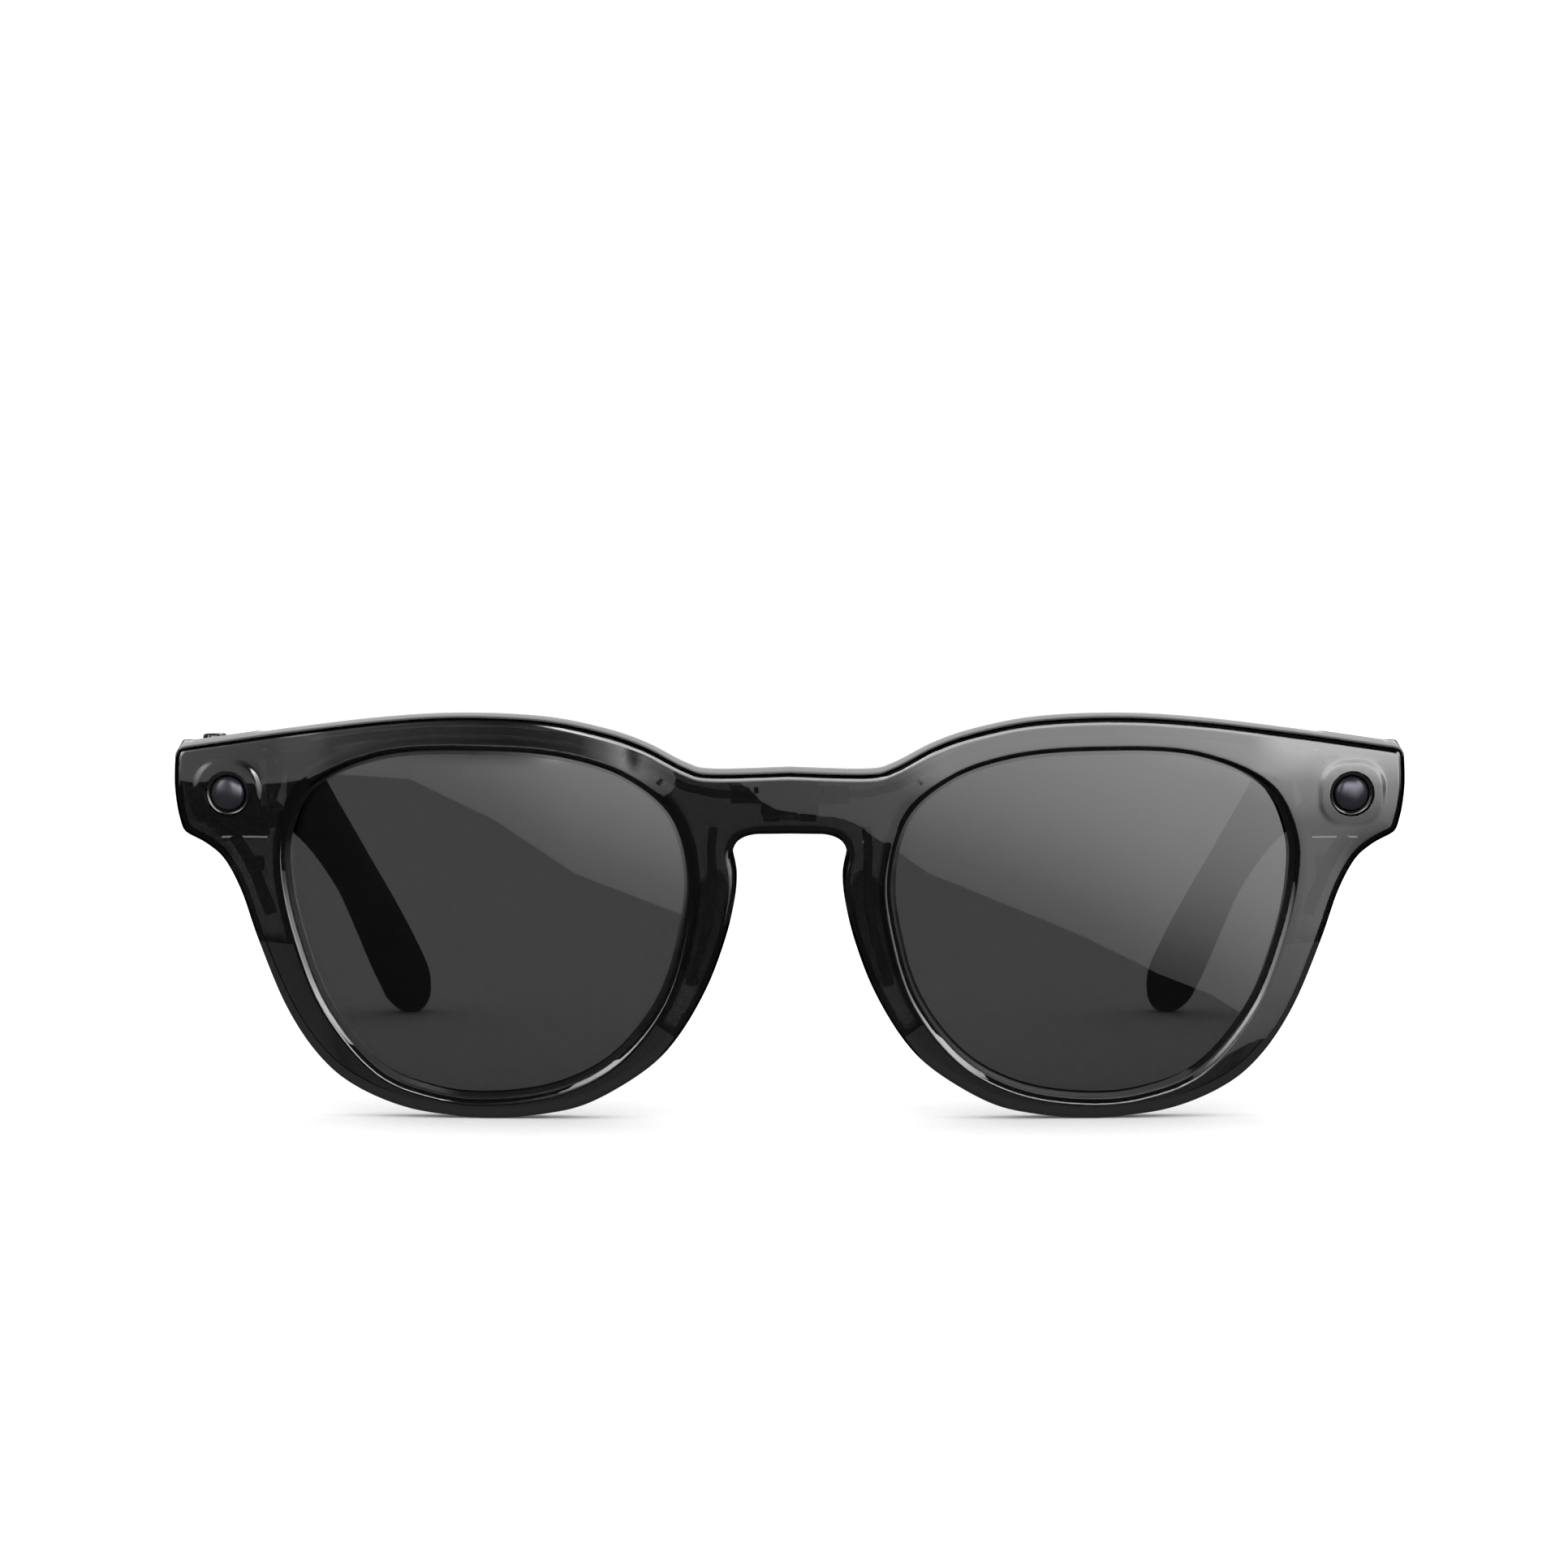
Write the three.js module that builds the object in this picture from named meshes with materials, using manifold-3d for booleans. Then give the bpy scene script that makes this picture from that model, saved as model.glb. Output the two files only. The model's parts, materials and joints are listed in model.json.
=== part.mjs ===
// Smart glasses: a translucent front that holds two sunglass lenses, a camera and a light, and two hinged
// temples that hold the electronics. Millimetres, +Z up. The glasses stand on a table as they are put down open:
// on the lower edges of both rims and on the two temple tips. The front faces -Y, the temples run towards +Y,
// and "left" and "right" are the wearer's, so left is +X.
import * as THREE from "three";
import { mergeVertices } from "three/addons/utils/BufferGeometryUtils.js";
import Module from "manifold-3d";

const wasm = await Module();
wasm.setup();

// ---- driving dimensions ----
const GAP = 0.3; // clearance between neighbouring pieces
const FRONT_LEAN = THREE.MathUtils.degToRad(7); // the front's top leans forward
const ARM_SLOPE = THREE.MathUtils.degToRad(2.5); // the temples fall towards the ears
const WRAP_RADIUS = 450; // the front curves back towards the temples
const STAND = 0.35; // height, in the front's own frame, of the table it stands on
const FRONT_DEPTH = 5.4; // thickness of a rim
const SPLIT_DEPTH = 2.9; // where the front shell meets the rear cover
const SKIN = 1.3; // wall of the front shell and of the rear cover over the electronics
const RIM_WALL = 1.0; // side wall of that hollow
const LENS_OVERLAP = 0.7; // the lens edge sits this far inside the groove
const LENS_THICKNESS = 1.8;
const LENS_DEPTH = 2.7; // middle of the lens at its edge, behind the rim's front
const LENS_RADIUS = 220; // curve of the lens
const LENS_CENTRE = new THREE.Vector2(37, 24);
const HINGE = new THREE.Vector3(65.6, 16, 39.8); // hinge axis, in the front's own frame
const KNUCKLE_RADIUS = 1.5;
const PIN_RADIUS = 0.65;
const CAMERA_AT = new THREE.Vector2(68.7, 40); // centre of the camera and of the light, on the front
const TEMPLE_WALL = 1.2;
const COVER_FACE = -0.3; // inner side of the temple's inner cover, across the hinge axis
const FINE = 20; // sides of a visible round
const COARSE = 12; // sides of a hidden round

// ---- materials ----
const finish = (color, roughness, metalness = 0, opacity = 1) =>
  new THREE.MeshStandardMaterial({ color, roughness, metalness, opacity, transparent: opacity < 1 });
const smokeShell = finish(0x26272a, 0.12, 0, 0.9);
const lensTint = finish(0x2b2b2b, 0.05, 0, 0.6);
const glossBlack = finish(0x0b0b0c, 0.15);
const satinBlack = finish(0x101011, 0.45);
const darkGlass = finish(0x14121c, 0.03);
const lightPipe = finish(0xc9ccd2, 0.3);
const steel = finish(0x9a9c9f, 0.3, 1);
const gold = finish(0xd8a648, 0.25, 1);
const board = finish(0x14301f, 0.5);
const flexFoil = finish(0x2a2017, 0.5);
const foilCell = finish(0x8d9094, 0.35, 1);
const clearPad = finish(0x303134, 0.3, 0, 0.9);

// ---- solids ----
function solid(geometry) {
  const bare = geometry.index ? geometry.toNonIndexed() : geometry.clone();
  bare.deleteAttribute("normal");
  bare.deleteAttribute("uv");
  const merged = mergeVertices(bare, 1e-4);
  const vertProperties = new Float32Array(merged.attributes.position.array);
  const triVerts = new Uint32Array(merged.index.array);
  const made = new wasm.Manifold(new wasm.Mesh({ numProp: 3, vertProperties, triVerts }));
  if (made.volume() > 0) return made;
  for (let i = 0; i < triVerts.length; i += 3) {
    [triVerts[i + 1], triVerts[i + 2]] = [triVerts[i + 2], triVerts[i + 1]];
  }
  return new wasm.Manifold(new wasm.Mesh({ numProp: 3, vertProperties, triVerts }));
}

function geometryOf(body) {
  const mesh = body.getMesh();
  const geometry = new THREE.BufferGeometry();
  geometry.setAttribute("position", new THREE.BufferAttribute(new Float32Array(mesh.vertProperties), 3));
  geometry.setIndex(new THREE.BufferAttribute(new Uint32Array(mesh.triVerts), 1));
  geometry.computeVertexNormals();
  return geometry;
}

const join = (...bodies) => bodies.reduce((all, body) => all.add(body));
const cut = (body, ...tools) => tools.reduce((left, tool) => left.subtract(tool), body);

// A box between two corners.
function block([x0, y0, z0], [x1, y1, z1]) {
  const box = new THREE.BoxGeometry(x1 - x0, y1 - y0, z1 - z0);
  return solid(box.translate((x0 + x1) / 2, (y0 + y1) / 2, (z0 + z1) / 2));
}

// A round rod between two places on an axis through (at), the axis being "x", "y" or "z".
function rod(axis, at, radius, from, to, sides = COARSE) {
  const shape = new THREE.CylinderGeometry(radius, radius, to - from, sides);
  shape.translate(0, (from + to) / 2, 0);
  if (axis === "x") shape.rotateZ(-Math.PI / 2);
  if (axis === "z") shape.rotateX(Math.PI / 2);
  return solid(shape.translate(...at));
}

// A flat outline in X and Z, pulled between two depths.
function slab(points, from, to, holes = []) {
  const shape = new THREE.Shape(points);
  shape.holes = holes.map((hole) => new THREE.Path(hole));
  const pulled = new THREE.ExtrudeGeometry(shape, { depth: to - from, bevelEnabled: false });
  return pulled.rotateX(Math.PI / 2).translate(0, to, 0);
}

// The front curves back towards the temples: a sheet between two depths behind its face, as wide as the object.
const wrapAt = (x) => (x * x) / (2 * WRAP_RADIUS);
function curvedSheet(from, to) {
  const along = Array.from({ length: 11 }, (_, i) => (i - 5) * 16);
  const near = along.map((x) => new THREE.Vector2(x, wrapAt(x) + from));
  const far = along.map((x) => new THREE.Vector2(x, wrapAt(x) + to)).reverse();
  const sheet = new THREE.ExtrudeGeometry(new THREE.Shape([...near, ...far]), { depth: 70, bevelEnabled: false });
  return solid(sheet.translate(0, 0, -8));
}
const curvedSlab = (points, from, to, holes) =>
  solid(slab(points, from - 3, to + 8, holes)).intersect(curvedSheet(from, to));

const v2 = (pairs) => pairs.map(([x, z]) => new THREE.Vector2(x, z));
const mirrored = (points) => points.map((p) => new THREE.Vector2(-p.x, p.y)).reverse();

// Moves a closed outline outwards (distance above 0) or inwards, and drops points that would cross over.
function offset(points, distance) {
  const clockwise = THREE.ShapeUtils.isClockWise(points) ? -1 : 1;
  const outward = (from, to) => {
    const along = to.clone().sub(from).normalize();
    return new THREE.Vector2(clockwise * along.y, -clockwise * along.x);
  };
  const moved = points.map((p, i) => {
    const one = outward(points[(i + points.length - 1) % points.length], p);
    const two = outward(p, points[(i + 1) % points.length]);
    return p.clone().addScaledVector(one.clone().add(two), distance / (1 + one.dot(two)));
  });
  const away = (p) => Math.min(...points.map((q, i) => toSegment(p, q, points[(i + 1) % points.length])));
  return moved.filter((p) => away(p) > Math.abs(distance) * 0.97);
}

function toSegment(p, a, b) {
  const span = b.clone().sub(a);
  const share = THREE.MathUtils.clamp(p.clone().sub(a).dot(span) / span.lengthSq(), 0, 1);
  return p.distanceTo(a.clone().addScaledVector(span, share));
}

// ---- outlines of the front, in X and Z, seen from in front ----
// From the middle of the bridge's top edge, over one brow to the end piece, round the lens and up the nose.
function frontOutline() {
  const path = new THREE.Path();
  path.moveTo(0, 43.55);
  path.splineThru(
    v2([
      [9.4, 43.3], [12.6, 44.05], [17.4, 46.5], [22.4, 48.2], [29.8, 49.6], [39.8, 49.95], [49.8, 49.25],
      [61.9, 47.55], [74.2, 45.5],
    ]),
  );
  path.quadraticCurveTo(75.1, 45.3, 75.2, 44.4);
  path.splineThru(v2([[75.3, 41], [75, 38], [74.5, 35.8]]));
  path.quadraticCurveTo(74.3, 35, 73.5, 34.65);
  path.splineThru(
    v2([
      [71.3, 33.5], [69.2, 31.6], [67.2, 27.7], [65.2, 21.7], [61.95, 13.65], [58.05, 7.6], [53.4, 3.7],
      [46.3, 0.95], [37.2, -0.05],
    ]),
  );
  path.splineThru(
    v2([
      [30.2, 0.65], [24.4, 2.2], [17.65, 6.3], [13.7, 10.45], [10.2, 16.5], [7.9, 22.6], [6.75, 27.4],
      [6.45, 30.5], [6.95, 33.2],
    ]),
  );
  path.quadraticCurveTo(7, 35.5, 4, 35.8);
  path.lineTo(0, 35.85);
  const half = path.getPoints(2);
  const other = mirrored(half);
  return [...half, ...other.slice(1, -1)];
}

// The opening that shows the lens.
function lensOpening() {
  const through = v2([
    [37.3, 45.8], [27, 45], [19.7, 42.55], [14.45, 38], [12.3, 30.3], [13.4, 21.7], [15.5, 15.3], [19.15, 9.85],
    [23.15, 6.3], [29.2, 3.6], [37.3, 2.5], [43.1, 3], [50, 5.6], [56.5, 13.15], [59.85, 21.4], [61.6, 29.5],
    [61.5, 34.7], [58.6, 40.8], [50, 44.9],
  ]);
  const loop = new THREE.CatmullRomCurve3(through.map((p) => new THREE.Vector3(p.x, p.y, 0)), true);
  return loop.getPoints(36).slice(0, -1).map((p) => new THREE.Vector2(p.x, p.y));
}

const OUTLINE = frontOutline();
const OPENING = lensOpening();
const OPENINGS = [OPENING, mirrored(OPENING)];

// The part of the front that the rear cover closes: end pieces, brows, bridge and the upper nose sides.
const COVERED_HALF = v2([[0, 60], [80, 60], [80, 22.8], [59, 21], [37, 30], [18, 13.2], [12.2, 8.9], [0, 8.9]]);
const COVERED = [...COVERED_HALF, ...mirrored(COVERED_HALF).slice(1, -1)];

// ---- lens ----
// A curved disc with the opening's outline, grown by (grow) and by (extra) in thickness.
function lensBody(grow, extra) {
  const edge = offset(OPENING, grow);
  const half = (LENS_THICKNESS + extra) / 2;
  const profile = v2([[0, -half], [0.5, -half], [1, -half], [1, half], [0.5, half], [0, half]]);
  const disc = new THREE.LatheGeometry(profile, edge.length);
  const place = disc.attributes.position;
  for (let i = 0; i < place.count; i++) {
    const radius = Math.hypot(place.getX(i), place.getZ(i));
    const step = Math.round((Math.atan2(place.getX(i), place.getZ(i)) / (2 * Math.PI)) * edge.length);
    const rim = edge[(step + edge.length) % edge.length];
    const x = LENS_CENTRE.x + (rim.x - LENS_CENTRE.x) * radius;
    const z = LENS_CENTRE.y + (rim.y - LENS_CENTRE.y) * radius;
    place.setXYZ(i, x, lensDepthAt(x, z) + place.getY(i), z);
  }
  return solid(disc);
}
function lensDepthAt(x, z) {
  const fromCentre = Math.hypot(x - LENS_CENTRE.x, z - LENS_CENTRE.y);
  return LENS_DEPTH + wrapAt(x) + (fromCentre * fromCentre - 23 * 23) / (2 * LENS_RADIUS);
}
const onBothSides = (body) => join(body, body.mirror([1, 0, 0]));

// ---- frames for what sits on the end piece and on the hinge ----
const endPieceMatrix = new THREE.Matrix4()
  .makeRotationZ(Math.atan(CAMERA_AT.x / WRAP_RADIUS))
  .setPosition(CAMERA_AT.x, wrapAt(CAMERA_AT.x), CAMERA_AT.y);
const hingeMatrix = new THREE.Matrix4().makeRotationX(-ARM_SLOPE - FRONT_LEAN).setPosition(HINGE);
const placed = (body, matrix) => body.transform(matrix.elements);

// ---- hinge, in its own frame: axis along Z through the origin, temple towards +Y, outside towards +X ----
const PLATE = { inner: -1.5, outer: -0.5, halfHeight: 3.1 };
const FRONT_PLATE = [-6.6, -1.9];
const ARM_PLATE = [1.9, 8.7];
const KNUCKLE = { inner: 0.8, outer: 3 };
const SCREW_HEIGHTS = [-1.7, 1.7];

// A plate with screw holes, and its knuckles, joined by a web.
function hingeLeaf([near, far], knuckles) {
  const plate = block([PLATE.inner, near, -PLATE.halfHeight], [PLATE.outer, far, PLATE.halfHeight]);
  const towards = near < 0 ? [far - 0.2, -0.6] : [0.6, near + 0.2];
  const parts = knuckles.map(([low, high]) =>
    join(
      rod("z", [0, 0, 0], KNUCKLE_RADIUS, low, high, FINE),
      block([PLATE.inner, towards[0], low], [PLATE.outer, towards[1], high]),
    ),
  );
  const holes = SCREW_HEIGHTS.map((z) => rod("x", [0, (near + far) / 2, z], 0.6 + GAP, -3, 1));
  return cut(join(plate, ...parts), rod("z", [0, 0, 0], PIN_RADIUS + GAP / 2, -5, 5, FINE), ...holes);
}
const FRONT_KNUCKLES = [[-KNUCKLE.outer, -KNUCKLE.inner], [KNUCKLE.inner, KNUCKLE.outer]];
const ARM_KNUCKLES = [[-KNUCKLE.inner + GAP, KNUCKLE.inner - GAP]];
const frontLeaf = () => hingeLeaf(FRONT_PLATE, FRONT_KNUCKLES);
const armLeaf = () => hingeLeaf(ARM_PLATE, ARM_KNUCKLES);

function hingePin() {
  const head = rod("z", [0, 0, 0], 1.15, KNUCKLE.outer + GAP, KNUCKLE.outer + 0.8, FINE);
  const slot = block([-1.3, -0.2, KNUCKLE.outer + 0.6], [1.3, 0.2, KNUCKLE.outer + 1]);
  return cut(join(rod("z", [0, 0, 0], PIN_RADIUS, -3.2, KNUCKLE.outer + 0.5, FINE), head), slot);
}

function leafScrew([near, far], z) {
  const y = (near + far) / 2;
  const head = rod("x", [0, y, z], 1.15, PLATE.inner - 0.9, PLATE.inner - GAP);
  return join(rod("x", [0, y, z], 0.6, PLATE.inner - 0.5, 1.3), head);
}

// Room for one leaf and its screws in the piece that carries it.
function leafRoom([near, far]) {
  const y = (near + far) / 2;
  const high = PLATE.halfHeight + GAP;
  return join(
    block([-4, near - GAP, -high], [PLATE.outer + GAP, far + GAP, high]),
    ...SCREW_HEIGHTS.map((z) => rod("x", [0, y, z], 0.6 + GAP, -2, 1.7)),
  );
}
const knuckleRoom = () => join(rod("z", [0, 0, 0], 2.1, -4.2, 4.2), block([-4, -2, -8], [0, 2, 8]));

// ---- camera and light, in the end piece's own frame: the skin's front at Y = 0, +Y inwards ----
const WINDOW = { boss: 3.95, rise: 0.12, hole: 2.95, bezel: 2.65, glass: 2.05 };

function roundedSquare(half, radius) {
  const shape = new THREE.Shape();
  const inner = half - radius;
  shape.absarc(inner, inner, radius, 0, Math.PI / 2);
  shape.absarc(-inner, inner, radius, Math.PI / 2, Math.PI);
  shape.absarc(-inner, -inner, radius, Math.PI, 1.5 * Math.PI);
  shape.absarc(inner, -inner, radius, 1.5 * Math.PI, 2 * Math.PI);
  return shape.getPoints(3).slice(0, -1);
}

// A turned piece: (radius, depth) pairs round the window's axis.
function turned(pairs, sides = FINE) {
  return solid(new THREE.LatheGeometry(v2(pairs), sides));
}
const windowBoss = () => solid(slab(roundedSquare(WINDOW.boss, 3), -WINDOW.rise, SKIN - GAP));
const windowHole = () => rod("y", [0, 0, 0], WINDOW.hole, -1, 6, FINE);
function bezel() {
  const seat = WINDOW.glass + GAP;
  return turned([
    [seat, 0.25], [WINDOW.bezel, 0.1], [WINDOW.bezel, 2.6], [1.7, 2.6], [1.7, 1.7], [seat, 1.4], [seat, 0.25],
  ]);
}
const windowGlass = () =>
  turned([[0, -0.35], [0.8, -0.27], [1.5, 0], [WINDOW.glass, 0.45], [WINDOW.glass, 0.8], [0, 0.8]]);
const cameraModule = () =>
  join(
    rod("y", [0, 0, 0], 1.3, 1.3, 3.4),
    rod("y", [0, 0, 0], 2.6, 2.9, 4),
    block([-2.4, 3.9, -3.4], [3.2, 5.4, 3.4]),
  );
const lightBoard = () =>
  join(block([-3, 3.2, -3.4], [3, 3.9, 3.4]), block([-0.8, 2.2, -0.8], [0.8, 3.3, 0.8]));
const lightRing = () => turned([[0.95, 1.1], [1.5, 1.1], [1.5, 2], [0.95, 2], [0.95, 1.1]]);

// ---- front shell and rear cover ----
const endPieceBox = block([PLATE.inner + HINGE.x, 2.9, 33.7], [80, 19, 47]);
const endPieceLimit = placed(block([-5, -40, -6.5], [20, -GAP / 2, 5.05]), hingeMatrix);
const endPieceHollow = join(
  block([67.3, 8, 35.4], [73.4, 12.5, 43.9]),
  block([70.6, 12, 37.6], [71.8, 20, 42.4]),
);

function hollowBehindSkin() {
  const grooveWall = LENS_OVERLAP + GAP + 0.45;
  const room = curvedSlab(offset(OUTLINE, -RIM_WALL), SKIN, FRONT_DEPTH - SKIN + 0.3, []);
  const covered = curvedSlab(offset(COVERED, -0.8), 0, FRONT_DEPTH, []);
  const rims = OPENINGS.map((edge) => curvedSlab(offset(edge, grooveWall), -1, FRONT_DEPTH + 1, []));
  return cut(room.intersect(covered), ...rims);
}
const HOLLOW = hollowBehindSkin();
const GROOVES = onBothSides(lensBody(LENS_OVERLAP + GAP, 0.6));
// The table trims a hair off both rims, so that each has a small flat to stand on.
const TABLE = placed(
  block([-90, -90, -10], [90, 90, STAND]),
  new THREE.Matrix4().makeRotationX(-FRONT_LEAN),
);

function frontShell() {
  const plate = curvedSlab(OUTLINE, 0, FRONT_DEPTH, OPENINGS);
  const bosses = onBothSides(placed(windowBoss(), endPieceMatrix));
  const coverRoom = curvedSlab(offset(COVERED, GAP), SPLIT_DEPTH, FRONT_DEPTH + 2, []);
  const windows = onBothSides(placed(windowHole(), endPieceMatrix));
  return cut(join(plate, bosses), coverRoom, HOLLOW, GROOVES, windows, TABLE);
}

function rearCover() {
  const plate = curvedSlab(OUTLINE, SPLIT_DEPTH + GAP, FRONT_DEPTH, OPENINGS);
  const covered = curvedSlab(COVERED, 0, FRONT_DEPTH + 2, []);
  const deepOutline = curvedSlab(OUTLINE, SPLIT_DEPTH + GAP, 20, []);
  const endPieces = onBothSides(deepOutline.intersect(endPieceBox).intersect(endPieceLimit));
  const hinges = onBothSides(placed(join(leafRoom(FRONT_PLATE), knuckleRoom()), hingeMatrix));
  const contacts = CONTACTS.map(([x, z]) => rod("y", [x, 0, z], CONTACT_RADIUS + GAP, 2, 7, FINE));
  const cameraRoom = onBothSides(placed(block([-3.4, 2, -3.8], [3.6, 5.8, 3.8]), endPieceMatrix));
  const body = join(plate.intersect(covered), endPieces);
  return cut(body, HOLLOW, GROOVES, hinges, onBothSides(endPieceHollow), cameraRoom, ...contacts);
}

// ---- small pieces of the front ----
const CONTACT_RADIUS = 1.1;
const CONTACTS = [[2.6, 40], [-2.6, 40]];
const contactPad = ([x, z]) => rod("y", [x, 0, z], CONTACT_RADIUS, FRONT_DEPTH - 0.9, FRONT_DEPTH - 0.1, FINE);

// Stiffener in the bridge: a plate with two round ears and two legs.
function bridgePlate() {
  const ends = [-1, 1];
  return join(
    block([-3.5, 1.6, 38.1], [3.5, 1.9, 42.3]),
    block([-4.6, 1.6, 40.3], [4.6, 1.9, 41.1]),
    ...ends.map((side) => rod("y", [side * 4.6, 0, 40.7], 0.95, 1.6, 1.9)),
    ...ends.map((side) => block([side * 2.25 - 1, 1.6, 37.3], [side * 2.25 + 1, 1.9, 38.3])),
  );
}

// A ribbon of constant width along a line of points.
function ribbon(points, width, from, to) {
  const line = new THREE.SplineCurve(v2(points)).getPoints(points.length);
  const sides = [1, -1].map((side) =>
    line.map((p, i) => {
      const along = line[Math.min(i + 1, line.length - 1)].clone().sub(line[Math.max(i - 1, 0)]).normalize();
      return new THREE.Vector2(p.x - (side * along.y * width) / 2, p.y + (side * along.x * width) / 2);
    }),
  );
  return curvedSlab([...sides[0], ...sides[1].reverse()], from, to, []);
}
const BROW = [
  [66.3, 43.7], [62, 45.2], [56, 46.2], [50, 47.3], [40, 48.1], [30, 47.7], [24, 46.6], [18, 44.2],
  [13.5, 41.7], [9.5, 40.6], [6.5, 40.5],
];
const RIM_SIDE = [[68, 34.6], [66.1, 31.6], [64.7, 28.2], [63.5, 24.9]];
const NOSE_SIDE = [[9.3, 36.5], [9.6, 33], [9.4, 29], [9.9, 25], [11.2, 20], [12.3, 16.8]];

function frontFlex() {
  const half = ribbon(BROW, 1, 2.3, 2.55);
  const middle = block([-7.2, 2.3, 39.4], [7.2, 2.55, 41.6]);
  return join(onBothSides(half), middle);
}
const sideAntenna = () => join(ribbon(RIM_SIDE, 1.5, 2.1, 2.35), block([64.3, 6.5, 30.4], [65.6, 7.6, 32]));
const noseAntenna = () => ribbon(NOSE_SIDE, 1.1, 2.1, 2.35);

// A soft pad on the rear of the rim beside the nose.
function nosePad() {
  const pad = new THREE.SphereGeometry(1, 14, 8).scale(2, 5, 7.3);
  pad.rotateZ(0.25).rotateY(-0.2).translate(10.5, FRONT_DEPTH + 0.6, 23.3);
  const behind = curvedSlab(v2([[0, 0], [30, 0], [30, 45], [0, 45]]), FRONT_DEPTH + GAP, 20, []);
  return solid(pad).intersect(behind);
}

// ---- temple, in the hinge's frame; the sections follow this table ----
// along the arm, height of the middle, middle across, width, height, squareness of the section
const SECTIONS = [
  [0.15, -0.7, 3.65, 10.3, 11.4, 6],
  [14, -0.7, 3.6, 10.1, 11.3, 6],
  [30, -0.7, 3.4, 9.7, 11.1, 6],
  [46, -0.8, 3, 9, 10.9, 5.5],
  [60, -1, 2.6, 8.2, 10.6, 5],
  [73, -1.7, 2.1, 7.2, 10.1, 4],
  [83, -3.5, 1.35, 6, 9.6, 3.2],
  [93, -7.5, -0.7, 5, 9, 2.8],
  [103, -13.4, -3.5, 4.8, 8.8, 2.6],
  [113, -19.9, -6, 5.8, 9, 2.5],
  [123, -26.4, -8.25, 6.7, 9.4, 2.4],
  [129, -30.35, -9.6, 6.9, 9.2, 2.3],
  [131.8, -32.2, -10.2, 5.9, 7.8, 2.2],
  [133.4, -33.3, -10.55, 4.1, 5.2, 2.1],
  [134, -33.7, -10.7, 1.2, 1.6, 2],
];
const CAVITY = { from: 9.6, to: 79 };
const centres = new THREE.CatmullRomCurve3(SECTIONS.map(([y, z, x]) => new THREE.Vector3(x, y, z)));
const sizes = new THREE.CatmullRomCurve3(SECTIONS.map(([, , , w, h, s]) => new THREE.Vector3(w, h, s)));
// The place on the centre line that is (y) along the arm, as a share of the table.
function shareAt(y) {
  let low = 0;
  let high = 1;
  for (let i = 0; i < 30; i++) {
    const middle = (low + high) / 2;
    if (centres.getPoint(middle).y < y) low = middle;
    else high = middle;
  }
  return low;
}

// A tube of rounded sections between two places along the arm. (sizeAt) gives width, height and squareness.
function armTube(from, to, sides, steps, sizeAt) {
  const tube = new THREE.CylinderGeometry(1, 1, 1, sides, steps);
  const place = tube.attributes.position;
  const [start, end] = [shareAt(from), shareAt(to)];
  const point = new THREE.Vector3();
  for (let i = 0; i < place.count; i++) {
    point.fromBufferAttribute(place, i);
    const share = THREE.MathUtils.lerp(start, end, point.y + 0.5);
    const tangent = centres.getTangent(share);
    const up = new THREE.Vector3(0, -tangent.z, tangent.y).normalize();
    const [width, height, squareness] = sizeAt(share).toArray();
    const round = (part) => (Math.abs(part) < 1e-6 ? 0 : Math.sign(part) * Math.abs(part) ** (2 / squareness));
    const centre = centres.getPoint(share);
    centre.x += (width / 2) * round(point.x);
    centre.addScaledVector(up, (height / 2) * round(point.z));
    place.setXYZ(i, ...centre.toArray());
  }
  return solid(tube);
}
const fullSize = (share) => sizes.getPoint(share);
const hollowSize = (share) => {
  const [width, height, squareness] = sizes.getPoint(share).toArray();
  return new THREE.Vector3(width - 2 * TEMPLE_WALL, height - 2 * TEMPLE_WALL, squareness);
};
const roundSize = (diameter) => () => new THREE.Vector3(diameter, diameter, 2);
const hingeToStand = new THREE.Matrix4().makeRotationX(FRONT_LEAN).multiply(hingeMatrix).invert();
const UNDER_TIP = placed(block([-90, -90, -10], [90, 200, STAND]), hingeToStand);
const BODY = armTube(0.15, 134, 20, 24, fullSize).subtract(UNDER_TIP);
const COVER = { near: 10, far: 74, low: -4.3, high: 2.4 };
const GRILLE = { x: 2.3, y: 66, halfWidth: 1.1, halfLength: 4.5 };
const CORE = { from: 80, to: 124, diameter: 1.5 };

function templeShell(...openings) {
  const hollow = armTube(CAVITY.from, CAVITY.to, 12, 6, hollowSize);
  const coreRoom = armTube(CAVITY.to - 2, CORE.to + 0.5, 6, 8, roundSize(CORE.diameter + 3 * GAP));
  const coverRoom = block(
    [-5, COVER.near - GAP, COVER.low - GAP],
    [COVER_FACE + GAP, COVER.far + GAP, COVER.high + GAP],
  );
  const cable = block([5, -1, -2.3], [6.2, 12, 2.3]);
  const sound = block(
    [GRILLE.x - GRILLE.halfWidth - GAP, GRILLE.y - GRILLE.halfLength - GAP, -9],
    [GRILLE.x + GRILLE.halfWidth + GAP, GRILLE.y + GRILLE.halfLength + GAP, -4],
  );
  const micPort = rod("z", [3.8, 22, 0], 0.5, -8, -4);
  const rooms = [hollow, coreRoom, coverRoom, cable, sound, micPort];
  return cut(BODY, ...rooms, leafRoom(ARM_PLATE), knuckleRoom(), ...openings);
}

const innerCover = (...openings) =>
  cut(BODY.intersect(block([-5, COVER.near, COVER.low], [COVER_FACE, COVER.far, COVER.high])), ...openings);

const speaker = () => join(block([0.6, 59.5, -3.6], [4.2, 70, 1.3]), block([1, 61, -4.5], [3.6, 69, -3.4]));

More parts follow.
